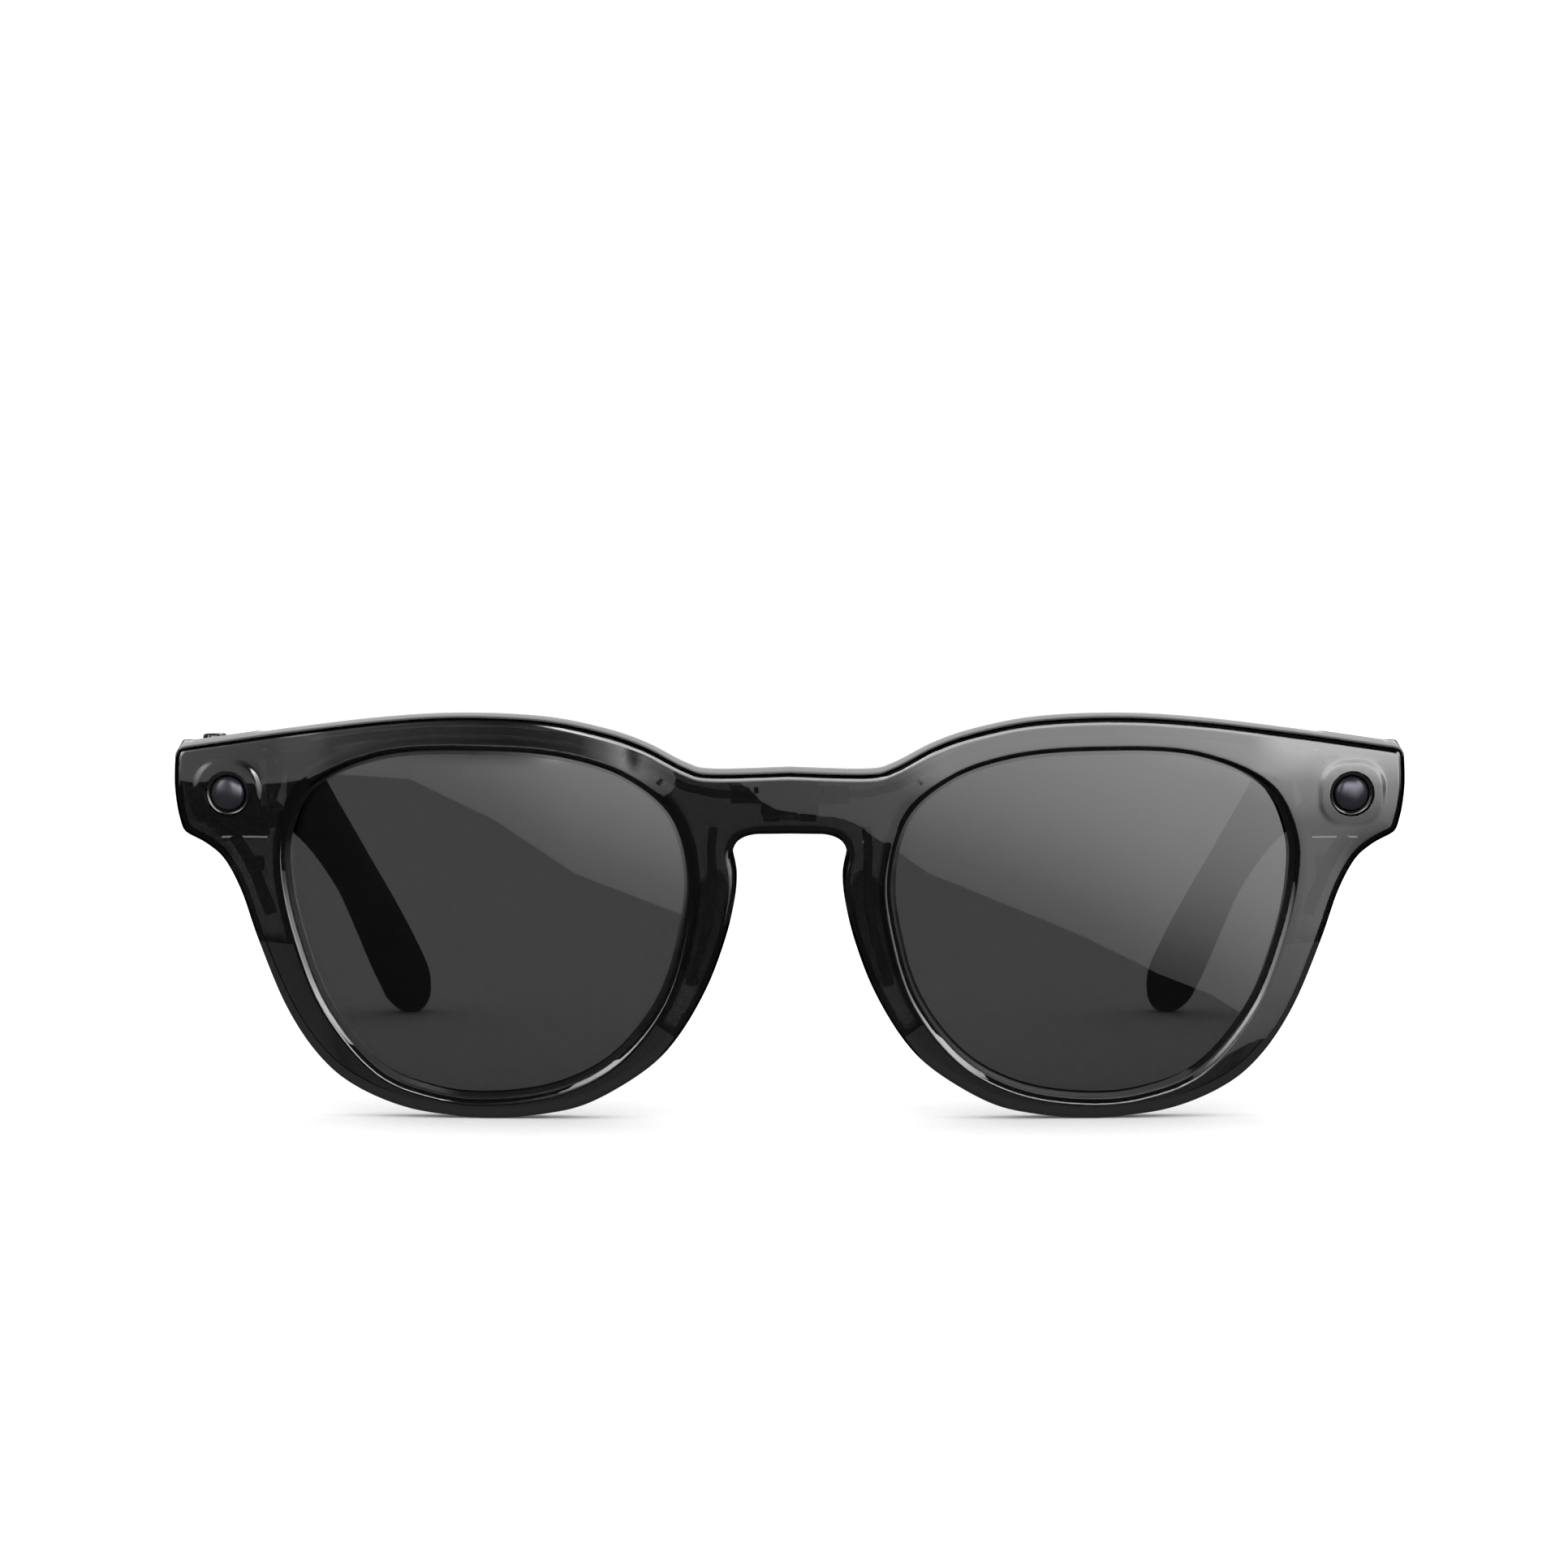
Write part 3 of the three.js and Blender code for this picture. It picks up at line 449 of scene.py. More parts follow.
def rod_mesh(name, at, radius, axis, start, end, sides=32, matrix=Matrix.Identity(4), mirror=False):
    """A round rod through (at), between two places on an axis."""
    x, y, z = at
    rings = []
    for place in (start, end):
        ring_points = []
        for k in range(sides):
            turn = 2 * math.pi * k / sides
            u, v = radius * math.cos(turn), radius * math.sin(turn)
            point = {"x": (place, y + u, z + v), "y": (x + u, place, z + v), "z": (x + u, y + v, place)}
            ring_points.append(point[axis])
        rings.append(ring_points)
    return tube(name, rings, matrix, mirror)


def stadium(centre, half, radius, z, sides):
    """A ring of points round a slot-shaped outline, long along Y."""
    out = []
    for k in range(sides):
        turn = 2 * math.pi * (k + 0.5) / sides
        across, along = radius * math.cos(turn), radius * math.sin(turn)
        out.append((centre[0] + across, centre[1] + math.copysign(half, along) + along, z))
    return out


def carve(obj, tools, operation="DIFFERENCE"):
    """Cuts (tools) from obj, or keeps what obj has in common with them, and removes them."""
    for tool in tools:
        modifier = obj.modifiers.new("cut", "BOOLEAN")
        modifier.operation = operation
        modifier.solver = "MANIFOLD"
        modifier.object = tool
    graph = bpy.context.evaluated_depsgraph_get()
    mesh = bpy.data.meshes.new_from_object(obj.evaluated_get(graph))
    obj.modifiers.clear()
    old = obj.data
    obj.data = mesh
    bpy.data.meshes.remove(old)
    for tool in tools:
        bpy.data.objects.remove(tool)


def finish_piece(obj, body, material, slot, *replaced):
    """Keeps a piece inside the model's box, gives it its material, hangs it on its body and hides the
    imported parts that it replaces.
    """
    for vertex in obj.data.vertices:
        vertex.co = [min(max(c, low), high) for c, low, high in zip(vertex.co, *cad_box)]
    obj.data.materials.clear()
    obj.data.materials.append(material)
    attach(obj, body)
    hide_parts(*replaced)


# ---- materials ----
def shader_node(tree, kind, **values):
    """A node with its inputs set."""
    made = tree.nodes.new("ShaderNode" + kind)
    for key, value in values.items():
        made.inputs[key.replace("_", " ")].default_value = value
    return made


def noise(tree, scale, detail, stretch=None):
    """A noise texture in the object's own space, (scale) to a metre."""
    place = shader_node(tree, "TexCoord").outputs["Object"]
    made = shader_node(tree, "TexNoise", Scale=scale, Detail=detail)
    if stretch:
        shape = shader_node(tree, "Mapping", Scale=stretch)
        tree.links.new(place, shape.inputs["Vector"])
        place = shape.outputs["Vector"]
    tree.links.new(place, made.inputs["Vector"])
    return made.outputs["Fac"]


def spread(tree, value, low, high):
    """(value) between 0.3 and 0.7 spread between (low) and (high)."""
    made = shader_node(tree, "MapRange", From_Min=0.3, From_Max=0.7, To_Min=low, To_Max=high)
    tree.links.new(value, made.inputs["Value"])
    return made.outputs["Result"]


def mixed(tree, factor, one, two):
    """A colour between (one) and (two)."""
    made = tree.nodes.new("ShaderNodeMix")
    made.data_type = "RGBA"
    made.inputs["A"].default_value = (*one, 1)
    made.inputs["B"].default_value = (*two, 1)
    tree.links.new(factor, made.inputs["Factor"])
    return made.outputs["Result"]


def material(name, colour, rough, bump=None, wear=None, stretch=None, density=0.0, **values):
    """A surface. (colour) is a colour or a pair mixed by noise, (rough) a pair, (bump) a list of noises, each
    with its scale, strength and height in mm, and (wear) the scale of the mixing noise."""
    made = bpy.data.materials.new(name)
    made.use_nodes = True
    tree = made.node_tree
    shader = tree.nodes["Principled BSDF"]
    if isinstance(colour[0], tuple):
        tint = spread(tree, noise(tree, wear or 900, 4.0, stretch), 0, 1)
        tree.links.new(mixed(tree, tint, *colour), shader.inputs["Base Color"])
    else:
        shader.inputs["Base Color"].default_value = (*colour, 1)
    if rough[0] == rough[1]:
        shader.inputs["Roughness"].default_value = rough[0]
    else:
        worn = spread(tree, noise(tree, (wear or 900) * 0.45, 4.0, stretch), *rough)
        tree.links.new(worn, shader.inputs["Roughness"])
    last = None
    for scale, strength, height in bump or []:
        lump = shader_node(tree, "Bump", Strength=strength, Distance=height * MM)
        tree.links.new(noise(tree, scale, 2.0, stretch), lump.inputs["Height"])
        if last:
            tree.links.new(last, lump.inputs["Normal"])
        last = lump.outputs["Normal"]
    if last:
        tree.links.new(last, shader.inputs["Normal"])
    for key, value in values.items():
        shader.inputs[key.replace("_", " ").title().replace("Ior", "IOR")].default_value = value
    if density:
        volume = shader_node(tree, "VolumeAbsorption", Color=(0.04, 0.035, 0.03, 1), Density=density)
        tree.links.new(volume.outputs["Volume"], tree.nodes["Material Output"].inputs["Volume"])
    return made


smoke = material(
    "smoke", (0.228, 0.228, 0.232), (0.0, 0.0), [(160, 0.04, 0.06)],
    transmission_weight=1.0, ior=1.56, density=590)
smoke_dark = material(
    "smoke_dark", (0.16, 0.16, 0.164), (0.0, 0.0), [(160, 0.04, 0.06)],
    transmission_weight=1.0, ior=1.5, density=560)
lens_tint = material(
    "lens_tint", (0.035, 0.035, 0.0358), (0.0, 0.0), transmission_weight=1.0, ior=1.5)
gloss_black = material(
    "gloss_black", ((0.006, 0.006, 0.007), (0.010, 0.010, 0.011)), (0.10, 0.20),
    [(9000, 0.10, 0.02), (300, 0.05, 0.05)], ior=1.5)
satin_black = material(
    "satin_black", ((0.004, 0.004, 0.004), (0.007, 0.007, 0.007)), (0.36, 0.46), [(14000, 0.12, 0.02)],
    ior=1.46, specular_ior_level=0.2)
dark_glass = material(
    "dark_glass", ((0.011, 0.011, 0.013), (0.015, 0.015, 0.018)), (0.25, 0.29),
    ior=1.44, specular_tint=(0.88, 0.86, 1.0, 1))
light_pipe = material(
    "light_pipe", ((0.45, 0.46, 0.48), (0.6, 0.6, 0.62)), (0.3, 0.45), [(4000, 0.2, 0.02)])
steel = material(
    "steel", ((0.42, 0.42, 0.43), (0.55, 0.55, 0.56)), (0.24, 0.38), [(3500, 0.25, 0.02)],
    stretch=(1, 0.08, 1), metallic=1.0)
gold = material(
    "gold", ((0.85, 0.56, 0.22), (0.95, 0.68, 0.32)), (0.18, 0.3), [(6000, 0.15, 0.01)], metallic=1.0)
circuit = material(
    "circuit", ((0.008, 0.011, 0.009), (0.014, 0.018, 0.014)), (0.35, 0.5), [(2500, 0.5, 0.05)], wear=1800)
flex_foil = material(
    "flex_foil", ((0.010, 0.009, 0.008), (0.018, 0.015, 0.012)), (0.3, 0.45), [(2500, 0.3, 0.03)])
blued_steel = material(
    "blued_steel", ((0.02, 0.02, 0.022), (0.035, 0.035, 0.038)), (0.3, 0.42), [(3500, 0.2, 0.02)],
    metallic=1.0)
foil_cell = material(
    "foil_cell", ((0.2, 0.2, 0.21), (0.32, 0.32, 0.33)), (0.3, 0.42), [(900, 0.3, 0.05)], metallic=1.0)
clear_pad = material(
    "clear_pad", (0.42, 0.42, 0.43), (0.04, 0.12), [(3000, 0.08, 0.03)],
    transmission_weight=1.0, ior=1.42, density=140)

FINISHES = {
    "smoke_shell": smoke, "lens_tint": lens_tint, "gloss_black": gloss_black, "satin_black": satin_black,
    "dark_glass": dark_glass, "light_pipe": light_pipe, "steel": steel, "gold": gold, "circuit": circuit,
    "flex_foil": flex_foil, "foil_cell": foil_cell, "clear_pad": clear_pad,
}


# ---- the front: shell and rear cover ----
def near_openings(points):
    """Distance to the nearer opening's edge."""
    return np.minimum(gap_to(points, OPENINGS[0]), gap_to(points, OPENINGS[1]))


WINDOWS = [np.array((side * CAMERA_AT[0], CAMERA_AT[1])) for side in (1, -1)]
BOSSES = [rounded_square(centre, BOSS_HALF, BOSS_ROUND) for centre in WINDOWS]
HOLES = [ring(centre, WINDOW_HOLE, 56) for centre in WINDOWS]


def face_fall(points):
    """How far the rim's face, front or rear, falls back beside the outline and the openings."""
    within = (CHAMFER_WIDTH - near_openings(points)) / CHAMFER_BLEND
    chamfer = CHAMFER_SLOPE * CHAMFER_BLEND * np.logaddexp(0, within)
    edge = gap_to(points, OUTLINE)
    low = smooth((CROWN_TOP - points[:, 1]) / CROWN_FADE)
    crown = CROWN_FALL * np.clip(1 - edge / CROWN_WIDTH, 0, 1) ** 2 * low
    return round_over(edge, EDGE_ROUND) + chamfer + crown


def brow_fall(points):
    """The brow and the end pieces lean back a little towards their top."""
    beside, height = np.abs(points[:, 0]), points[:, 1]
    end = smooth((beside - END_FROM) / END_BLEND)
    brow = smooth((beside - BROW_FROM) / BROW_BLEND) * (1 - end)
    bridge_fall = BRIDGE_TILT * np.clip(height - BRIDGE_TILT_FROM, 0, None)
    curved = np.clip(height - BROW_CURVE_FROM, 0, BROW_TILT_FROM - BROW_CURVE_FROM)
    straight = np.clip(height - BROW_TILT_FROM, 0, None)
    end_fall = END_CURVE * np.clip(height - END_CURVE_FROM, 0, None) ** 2
    brow_fallen = BROW_TILT * straight + BROW_CURVE * curved**2
    return (1 - brow - end) * bridge_fall + brow * brow_fallen + end * end_fall


def boss_rise(points):
    """The soft-edged raised field round each window, which fades out towards its foot."""
    rise = np.zeros(len(points))
    for boss in BOSSES:
        rise += BOSS_HEIGHT * smooth((signed(points, boss) + BOSS_EDGE) / (2 * BOSS_EDGE))
    return rise * smooth((points[:, 1] - CAMERA_AT[1] + BOSS_FOOT) / BOSS_FADE)


def lens_middle(points):
    """Depth of the middle of the lens."""
    near = np.abs(points[:, 0])
    span = (near - LENS_CENTRE[0]) ** 2 + (points[:, 1] - LENS_CENTRE[1]) ** 2
    return LENS_MIDDLE + wrap(near) + (span - LENS_REACH**2) / (2 * LENS_RADIUS)


def level(depth):
    """A depth function that keeps to the front's curve."""
    return lambda points: wrap(points[:, 0]) + depth


def front_face(points):
    return wrap(points[:, 0]) + face_fall(points) + brow_fall(points) - boss_rise(points)


def rear_face(points):
    return wrap(points[:, 0]) + FRONT_DEPTH - face_fall(points)


def lug_back(points):
    """The rear of the end piece, which is cut square to the temple."""
    tilt = LEAN + ARM_SLOPE
    slope = math.tan(tilt)
    over = points[:, 1] - HINGE.z
    back = HINGE.y - END_GAP + over * slope
    top = HINGE.y - (over - END_TOP / math.cos(tilt)) / slope
    bottom = HINGE.y + (over + END_BOTTOM / math.cos(tilt)) / slope * 4
    edge = round_over(gap_to(points, OUTLINE), END_ROUND)
    behind_rim = wrap(points[:, 0]) + FRONT_DEPTH + 0.05
    return np.maximum(np.minimum(np.minimum(back, top), bottom) - edge, behind_rim)


DEPTHS = {
    "face": front_face,
    "skin": level(SKIN),
    "split": level(SHELL_BACK),
    "cover": level(COVER_FRONT),
    "cover_skin": level(FRONT_DEPTH - COVER_SKIN),
    "lens_front": lambda points: lens_middle(points) - LENS_HALF - GROOVE_SLACK,
    "lens_rear": lambda points: lens_middle(points) + LENS_HALF + GROOVE_SLACK,
    "rear": rear_face,
    "lug_room": level(END_ROOM),
    "lug": lug_back,
}


def end_piece(side):
    """The closed line round the end piece's deep part."""
    near, far = side * (HINGE.x - END_PIECE["in"]), side * END_PIECE["out"]
    low, high = END_PIECE["low"], END_PIECE["high"]
    return np.array([(near, low), (far, low), (far, high), (near, high)])


LUGS = [end_piece(1), end_piece(-1)]
SHELL_EDGE = offset(COVERED, COVER_SLACK)
COVER_EDGE = offset(COVERED, -COVER_SLACK)
HOLLOW_COVERED = offset(COVERED, -HOLLOW_INSET)


def hollow_at(points):
    """Whether a place lies over the hollow behind the skin."""
    return ((signed(points, OUTLINE) > RIM_WALL) & (near_openings(points) > HOLLOW_EDGE)
            & (signed(points, HOLLOW_COVERED) > 0))


def in_front(points):
    """Whether a place lies inside the outline and outside both openings."""
    return inside(points, OUTLINE) & ~inside(points, OPENINGS[0]) & ~inside(points, OPENINGS[1])


def shell_class(points):
    """What the front shell is made of at each place."""
    solid = in_front(points)
    for centre in WINDOWS:
        solid &= np.linalg.norm(points - centre, axis=1) > WINDOW_HOLE
    covered = signed(points, SHELL_EDGE) > 0
    groove = near_openings(points) < GROOVE
    hollow = hollow_at(points)
    out = []
    for k in range(len(points)):
        if not solid[k]:
            out.append(None)
        elif covered[k]:
            out.append("lip" if groove[k] else "hollow" if hollow[k] else "wall")
        else:
            out.append("grooved" if groove[k] else "rim")
    return out


def cover_class(points):
    """What the rear cover is made of at each place."""
    solid = in_front(points)
    covered = signed(points, COVER_EDGE) > 0
    groove = near_openings(points) < GROOVE
    hollow = hollow_at(points)
    lug = inside(points, LUGS[0]) | inside(points, LUGS[1])
    out = []
    for k in range(len(points)):
        if not (solid[k] and covered[k]):
            out.append(None)
        elif lug[k]:
            out.append("lug_hollow" if hollow[k] else "lug_wall")
        else:
            out.append("groove" if groove[k] else "hollow" if hollow[k] else "wall")
    return out


def grid(step):
    """Loose points over the front, clear of the lines that the mesh follows."""
    x, z = np.meshgrid(np.arange(-75, 75.1, step), np.arange(0, 50, step))
    points = np.stack([x.ravel(), z.ravel()], 1)
    clear = (gap_to(points, OUTLINE) > EDGE_ROUND + 0.3) & (near_openings(points) > 0.3)
    for boss in BOSSES:
        clear &= np.abs(signed(points, boss)) > BOSS_EDGE + 0.2
    return points[in_front(points) & clear]


# lines that the front's mesh follows: denser where its face bends
EDGE_RINGS = [offset(OUTLINE, -EDGE_ROUND * (1 - math.cos(math.radians(a)))) for a in (18, 36, 54, 72, 90)]
EDGE_RINGS += [offset(OUTLINE, -gap) for gap in (1.5, 2.4)]
INNER_GAPS = (0.25, 0.4, 0.47, 0.53, 0.6, 0.75, 1.15, 1.6)
INNER_RINGS = [offset(edge, gap) for edge in OPENINGS for gap in INNER_GAPS]
GROOVE_RINGS = [offset(edge, GROOVE - 0.02) for edge in OPENINGS]
HOLLOW_RINGS = [offset(edge, HOLLOW_EDGE) for edge in OPENINGS] + [offset(OUTLINE, -RIM_WALL), HOLLOW_COVERED]
LENS_LINES = [OUTLINE, *OPENINGS, *EDGE_RINGS, *INNER_RINGS, *GROOVE_RINGS, *HOLLOW_RINGS]
BOSS_RINGS = [rounded_square(centre, BOSS_HALF + g * BOSS_EDGE, BOSS_ROUND + g * BOSS_EDGE)
              for centre in WINDOWS for g in (-1, -0.75, -0.5, -0.25, 0, 0.25, 0.5, 0.75, 1)]
LOOSE = grid(1.0)

front_shell = layered(
    "front_shell_fine", LENS_LINES + HOLES + BOSS_RINGS + [SHELL_EDGE], LOOSE, shell_class,
    {"lip": ["face", "lens_front"], "hollow": ["face", "skin"], "wall": ["face", "split"],
     "grooved": ["face", "lens_front", "lens_rear", "rear"], "rim": ["face", "rear"]}, DEPTHS, front_matrix)
rear_cover = layered(
    "rear_cover_fine", LENS_LINES + [COVER_EDGE] + LUGS, LOOSE, cover_class,
    {"groove": ["lens_rear", "rear"], "hollow": ["cover_skin", "rear"], "wall": ["cover", "rear"],
     "lug_hollow": ["lug_room", "lug"], "lug_wall": ["cover", "lug"]}, DEPTHS, front_matrix)


# the hinge, in its own frame: each leaf's near and far end, and the room round it
FRONT_LEAF, ARM_LEAF = (-6.6, -1.9), (1.9, 8.7)
LEAF_HALF, LEAF_GAP = 3.4, 0.3
KNUCKLE_ROOM = 2.1
SCREW_HEIGHTS, SCREW_ROOM = (-1.7, 1.7), 0.9
CONTACT_AT, CONTACT_ROOM = (2.6, 40), 1.25


def hinge_tools(matrix, leaf, mirror):
    """The room for one hinge leaf and for the knuckles, as cutting tools."""
    low, high = (leaf[0] - LEAF_GAP, leaf[1] + LEAF_GAP)
    tools = [
        box_mesh("tool", (-4, low, -LEAF_HALF), (-0.2, high, LEAF_HALF), matrix, mirror),
        box_mesh("tool", (-4, -2, -8), (0, 2, 8), matrix, mirror),
        rod_mesh("tool", (0, 0, 0), KNUCKLE_ROOM, "z", -4.2, 4.2, 40, matrix, mirror),
    ]
    middle = (leaf[0] + leaf[1]) / 2
    for z in SCREW_HEIGHTS:
        tools.append(rod_mesh("tool", (0, middle, z), SCREW_ROOM, "x", -2, 1.7, 24, matrix, mirror))
    return tools


def front_tools():
    """What is cut from the rear cover: the contacts', the camera's and the light's room, and the hinges'."""
    x, z = CONTACT_AT
    tools = [
        rod_mesh("tool", (side * x, 0, z), CONTACT_ROOM, "y", 4.2, 7, 40, front_matrix) for side in (1, -1)]
    end_piece_matrix = front_matrix @ window_matrix
    for mirror in (False, True):
        tools.append(box_mesh("tool", (-3.4, 2, -3.8), (3.6, 6.0, 3.8), end_piece_matrix, mirror))
    for mirror in (False, True):
        tools += hinge_tools(front_matrix @ hinge_matrix, FRONT_LEAF, mirror)
    return tools


carve(rear_cover, front_tools())
tidy_normals(rear_cover)

for piece, node, surface in ((front_shell, "front_shell", smoke), (rear_cover, "rear_cover", smoke_dark)):
    finish_piece(piece, "front", surface, "smoke_shell", node)


# ---- lenses: tinted, with a black edge of painted shade where they sit in the groove and just inside the opening ----
LENS_STEPS = 16  # rings from the middle to the black edge of painted shade


def lens(mirror):
    """A curved lens of rings round its centre, front first, then the edge, then the rear."""
    edge = even(offset(OPENING, LENS_EDGE), 0.5)
    along = np.roll(edge, -1, axis=0) - np.roll(edge, 1, axis=0)
    along /= np.linalg.norm(along, axis=1, keepdims=True)
    inward = np.stack([-along[:, 1], along[:, 0]], 1)
    centre = np.array(LENS_CENTRE)
    inward *= np.sign(((centre - edge) * inward).sum(1, keepdims=True))
    clear = edge + inward * (LENS_EDGE + LENS_SHADE_BAND)
    rings = [(centre + (clear - centre) * share, -1) for share in np.linspace(0.04, 1, LENS_STEPS)]
    rings += [(edge + inward * 0.1, -1), (edge, -0.85), (edge, 0.85), (edge + inward * 0.1, 1)]
    rings += [(centre + (clear - centre) * share, 1) for share in np.linspace(1, 0.04, LENS_STEPS)]
    between = [(*p, side) for ring_points, side in rings for p in ring_points]
    flat = np.array([(*centre, -1.0), *between, (*centre, 1.0)])
    depth = lens_middle(flat[:, :2]) + flat[:, 2] * LENS_HALF
    points = [(x, y, z) for (x, z, _), y in zip(flat, depth)]
    n = len(edge)
    faces = [(0, 1 + k, 1 + (k + 1) % n) for k in range(n)]
    # the faces of the edge band, which take gloss black as painted shade
    black = []
    for i in range(len(rings) - 1):
        a, b = 1 + i * n, 1 + (i + 1) * n
        if LENS_STEPS - 1 <= i < len(rings) - LENS_STEPS:
            black += range(len(faces), len(faces) + n)
        faces += [(a + k, b + k, b + (k + 1) % n, a + (k + 1) % n) for k in range(n)]
    last = 1 + (len(rings) - 1) * n
    faces += [(len(points) - 1, last + (k + 1) % n, last + k) for k in range(n)]
    side = "right" if mirror else "left"
    made = new_mesh(f"lens_{side}_fine", points, faces, front_matrix_for(mirror))
    tidy_normals(made)
    finish_piece(made, "front", lens_tint, "lens_tint", f"lens_{side}")
    # the edge band is painted shade: black faces where the rim's inner wall darkens the lens
    made.data.materials.append(gloss_black)
    for k in black:
        made.data.polygons[k].material_index = 1


def front_matrix_for(mirror):
    return MIRROR @ front_matrix if mirror else front_matrix


# ---- nose pads, the windows' bezels and glasses ----
PAD_AT, PAD_HALF = (10.5, FRONT_DEPTH + 0.6, 23.3), (2, 5, 7.3)
PAD_LEAN, PAD_TURN = -0.2, 0.25


def nose_pad(mirror):
    """An oval pad, flat against the rim's rear."""
    verts, faces = [(0, 0, 1)], []
    around, down = 48, 28
    for i in range(1, down):
        a = math.pi * i / down
        for k in range(around):
            b = 2 * math.pi * k / around
            verts.append((math.sin(a) * math.cos(b), math.sin(a) * math.sin(b), math.cos(a)))
    verts.append((0, 0, -1))
    for k in range(around):
        n = (k + 1) % around
        faces.append((0, 1 + k, 1 + n))
        for i in range(down - 2):
            a = 1 + i * around
            faces.append((a + k, a + around + k, a + around + n, a + n))
        a = 1 + (down - 2) * around
        faces.append((a + k, len(verts) - 1, a + n))
    shape = Matrix.Translation(PAD_AT) @ Matrix.Rotation(PAD_LEAN, 4, "Y")
    shape = shape @ Matrix.Rotation(PAD_TURN, 4, "Z") @ Matrix.Diagonal((*PAD_HALF, 1))
    verts = [tuple(shape @ Vector(v)) for v in verts]
    verts = [(x, max(y, FRONT_DEPTH + 0.12 + wrap(x)), z) for x, y, z in verts]
    side = "right" if mirror else "left"
    made = new_mesh(f"nose_pad_{side}_fine", verts, faces, front_matrix, mirror)
    made.data.shade_smooth()
    finish_piece(tidy_normals(made, 60), "front", clear_pad, "clear_pad", f"nose_pad_{side}")


# (radius, depth) behind the skin's front
BEZEL_LINE = [(2.2, 1.45), (2.22, 0.6), (2.3, 0.42), (2.46, 0.3), (2.58, 0.26), (2.64, 0.3), (2.65, 0.4),
              (2.65, 2.6), (1.7, 2.6), (1.7, 1.75), (2.2, 1.45)]
DOME_RADIUS, DOME_HEIGHT, DOME_FOOT, DOME_BACK = 2.05, 0.78, 0.42, 0.8
ON_AXIS = 0.001


def window(name, mirror):
    """The bezel and the domed glass of the camera or the light."""
    place = front_matrix @ window_matrix
    made = lathe(f"{name}_bezel_fine", BEZEL_LINE, place, 96, mirror)
    finish_piece(made, "front", gloss_black, "gloss_black", f"{name}_bezel")
    dome = [(ON_AXIS, DOME_FOOT - DOME_HEIGHT)]
    for a in range(6, 91, 6):
        turn = math.radians(a)
        dome.append((DOME_RADIUS * math.sin(turn), DOME_FOOT - DOME_HEIGHT * math.cos(turn)))
    dome += [(DOME_RADIUS, DOME_BACK), (ON_AXIS, DOME_BACK)]
    made = lathe(f"{name}_glass_fine", dome, place, 72, mirror)
    finish_piece(made, "front", dark_glass, "dark_glass", f"{name}_glass")


for mirror in (False, True):
    lens(mirror)
    nose_pad(mirror)
    window("light" if mirror else "camera", mirror)


# ---- temples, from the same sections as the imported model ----
# along the arm, height of the middle, middle across, width, height, squareness of the section
SECTIONS = [
    (0.15, -0.7, 3.65, 10.3, 11.4, 6), (14, -0.7, 3.6, 10.1, 11.3, 6), (30, -0.7, 3.4, 9.7, 11.1, 6),
    (46, -0.8, 3, 9, 10.9, 5.5), (60, -1, 2.6, 8.2, 10.6, 5), (73, -1.7, 2.1, 7.2, 10.1, 4),
    (83, -3.5, 1.35, 6, 9.6, 3.2), (93, -7.5, -0.7, 5, 9, 2.8), (103, -13.4, -3.5, 4.8, 8.8, 2.6),
    (113, -19.9, -6, 5.8, 9, 2.5), (123, -26.4, -8.25, 6.7, 9.4, 2.4), (129, -30.35, -9.6, 6.9, 9.2, 2.3),
    (131.8, -32.2, -10.2, 5.9, 7.8, 2.2), (133.4, -33.3, -10.55, 4.1, 5.2, 2.1),
    (134, -33.7, -10.7, 1.2, 1.6, 2)]
STATIONS = len(SECTIONS) * 12
CENTRES = np.array(centripetal([(x, y, z) for y, z, x, _, _, _ in SECTIONS], False, STATIONS))
SIZES = np.array(centripetal([(w, h, s) for _, _, _, w, h, s in SECTIONS], False, STATIONS))


def temple_rings(sides=72, shrink=0.0):
    """Rings of points round the temple, in the hinge's frame."""
    tangents = np.gradient(CENTRES, axis=0)
    rings = []
    for (x, y, z), tangent, (wide, high, square) in zip(CENTRES, tangents, SIZES):
        up = np.array((0, -tangent[2], tangent[1]))
        up /= np.linalg.norm(up)
        ring_points = []
        for k in range(sides):
            turn = 2 * math.pi * (k + 0.5) / sides
            c, s = math.cos(turn), math.sin(turn)
            across = (wide / 2 - shrink) * math.copysign(abs(c) ** (2 / square), c)
            rise = (high / 2 - shrink) * math.copysign(abs(s) ** (2 / square), s)
            ring_points.append((x + across, y + up[1] * rise, z + up[2] * rise))
        rings.append(ring_points)
    return rings


RINGS = temple_rings()
PANEL_BOX = ((-5, 10, -4.3), (-0.3, 74, 2.4))
SEAM = 0.12
HOLLOW_FROM, HOLLOW_TO, TEMPLE_WALL = 9.6, 79, 1.2
CABLE_ROOM = ((5, -1, -2.3), (6.2, 12, 2.3))
SOUND_SLOT = ((1.1, 61.3, -9), (3.5, 70.7, -4))
MIC_PORT_AT, MIC_PORT_RADIUS = (3.8, 22, 0), 0.5
BUTTON_AT, BUTTON_FROM, BUTTON_TO, BUTTON_HALF = 6.7, 6.5, 15.5, 1.15
BUTTON_TOP, BUTTON_ROUND, BUTTON_GAP = 5.75, 0.35, 0.14
SLIDER = ((-2.1, 13, -1.6), (0.5, 17.4, 0.2))
SLIDER_TRAVEL, SLIDER_GAP = 2.2, 0.15
GRIP_FIRST, GRIP_STEP, GRIP_WIDTH, GRIP_DEPTH = 0.75, 0.8, 0.35, 0.22


def grown(box, by):
    """A box made larger on every side."""
    return (tuple(c - by for c in box[0]), tuple(c + by for c in box[1]))


def bevel(obj, width):
    """Rounds the sharp edges, (width) in millimetres."""
    made = obj.modifiers.new("bevel", "BEVEL")
    made.width = width * MM
    made.segments = 2
    made.limit_method = "ANGLE"
    made.angle_limit = math.radians(40)
    made.harden_normals = False


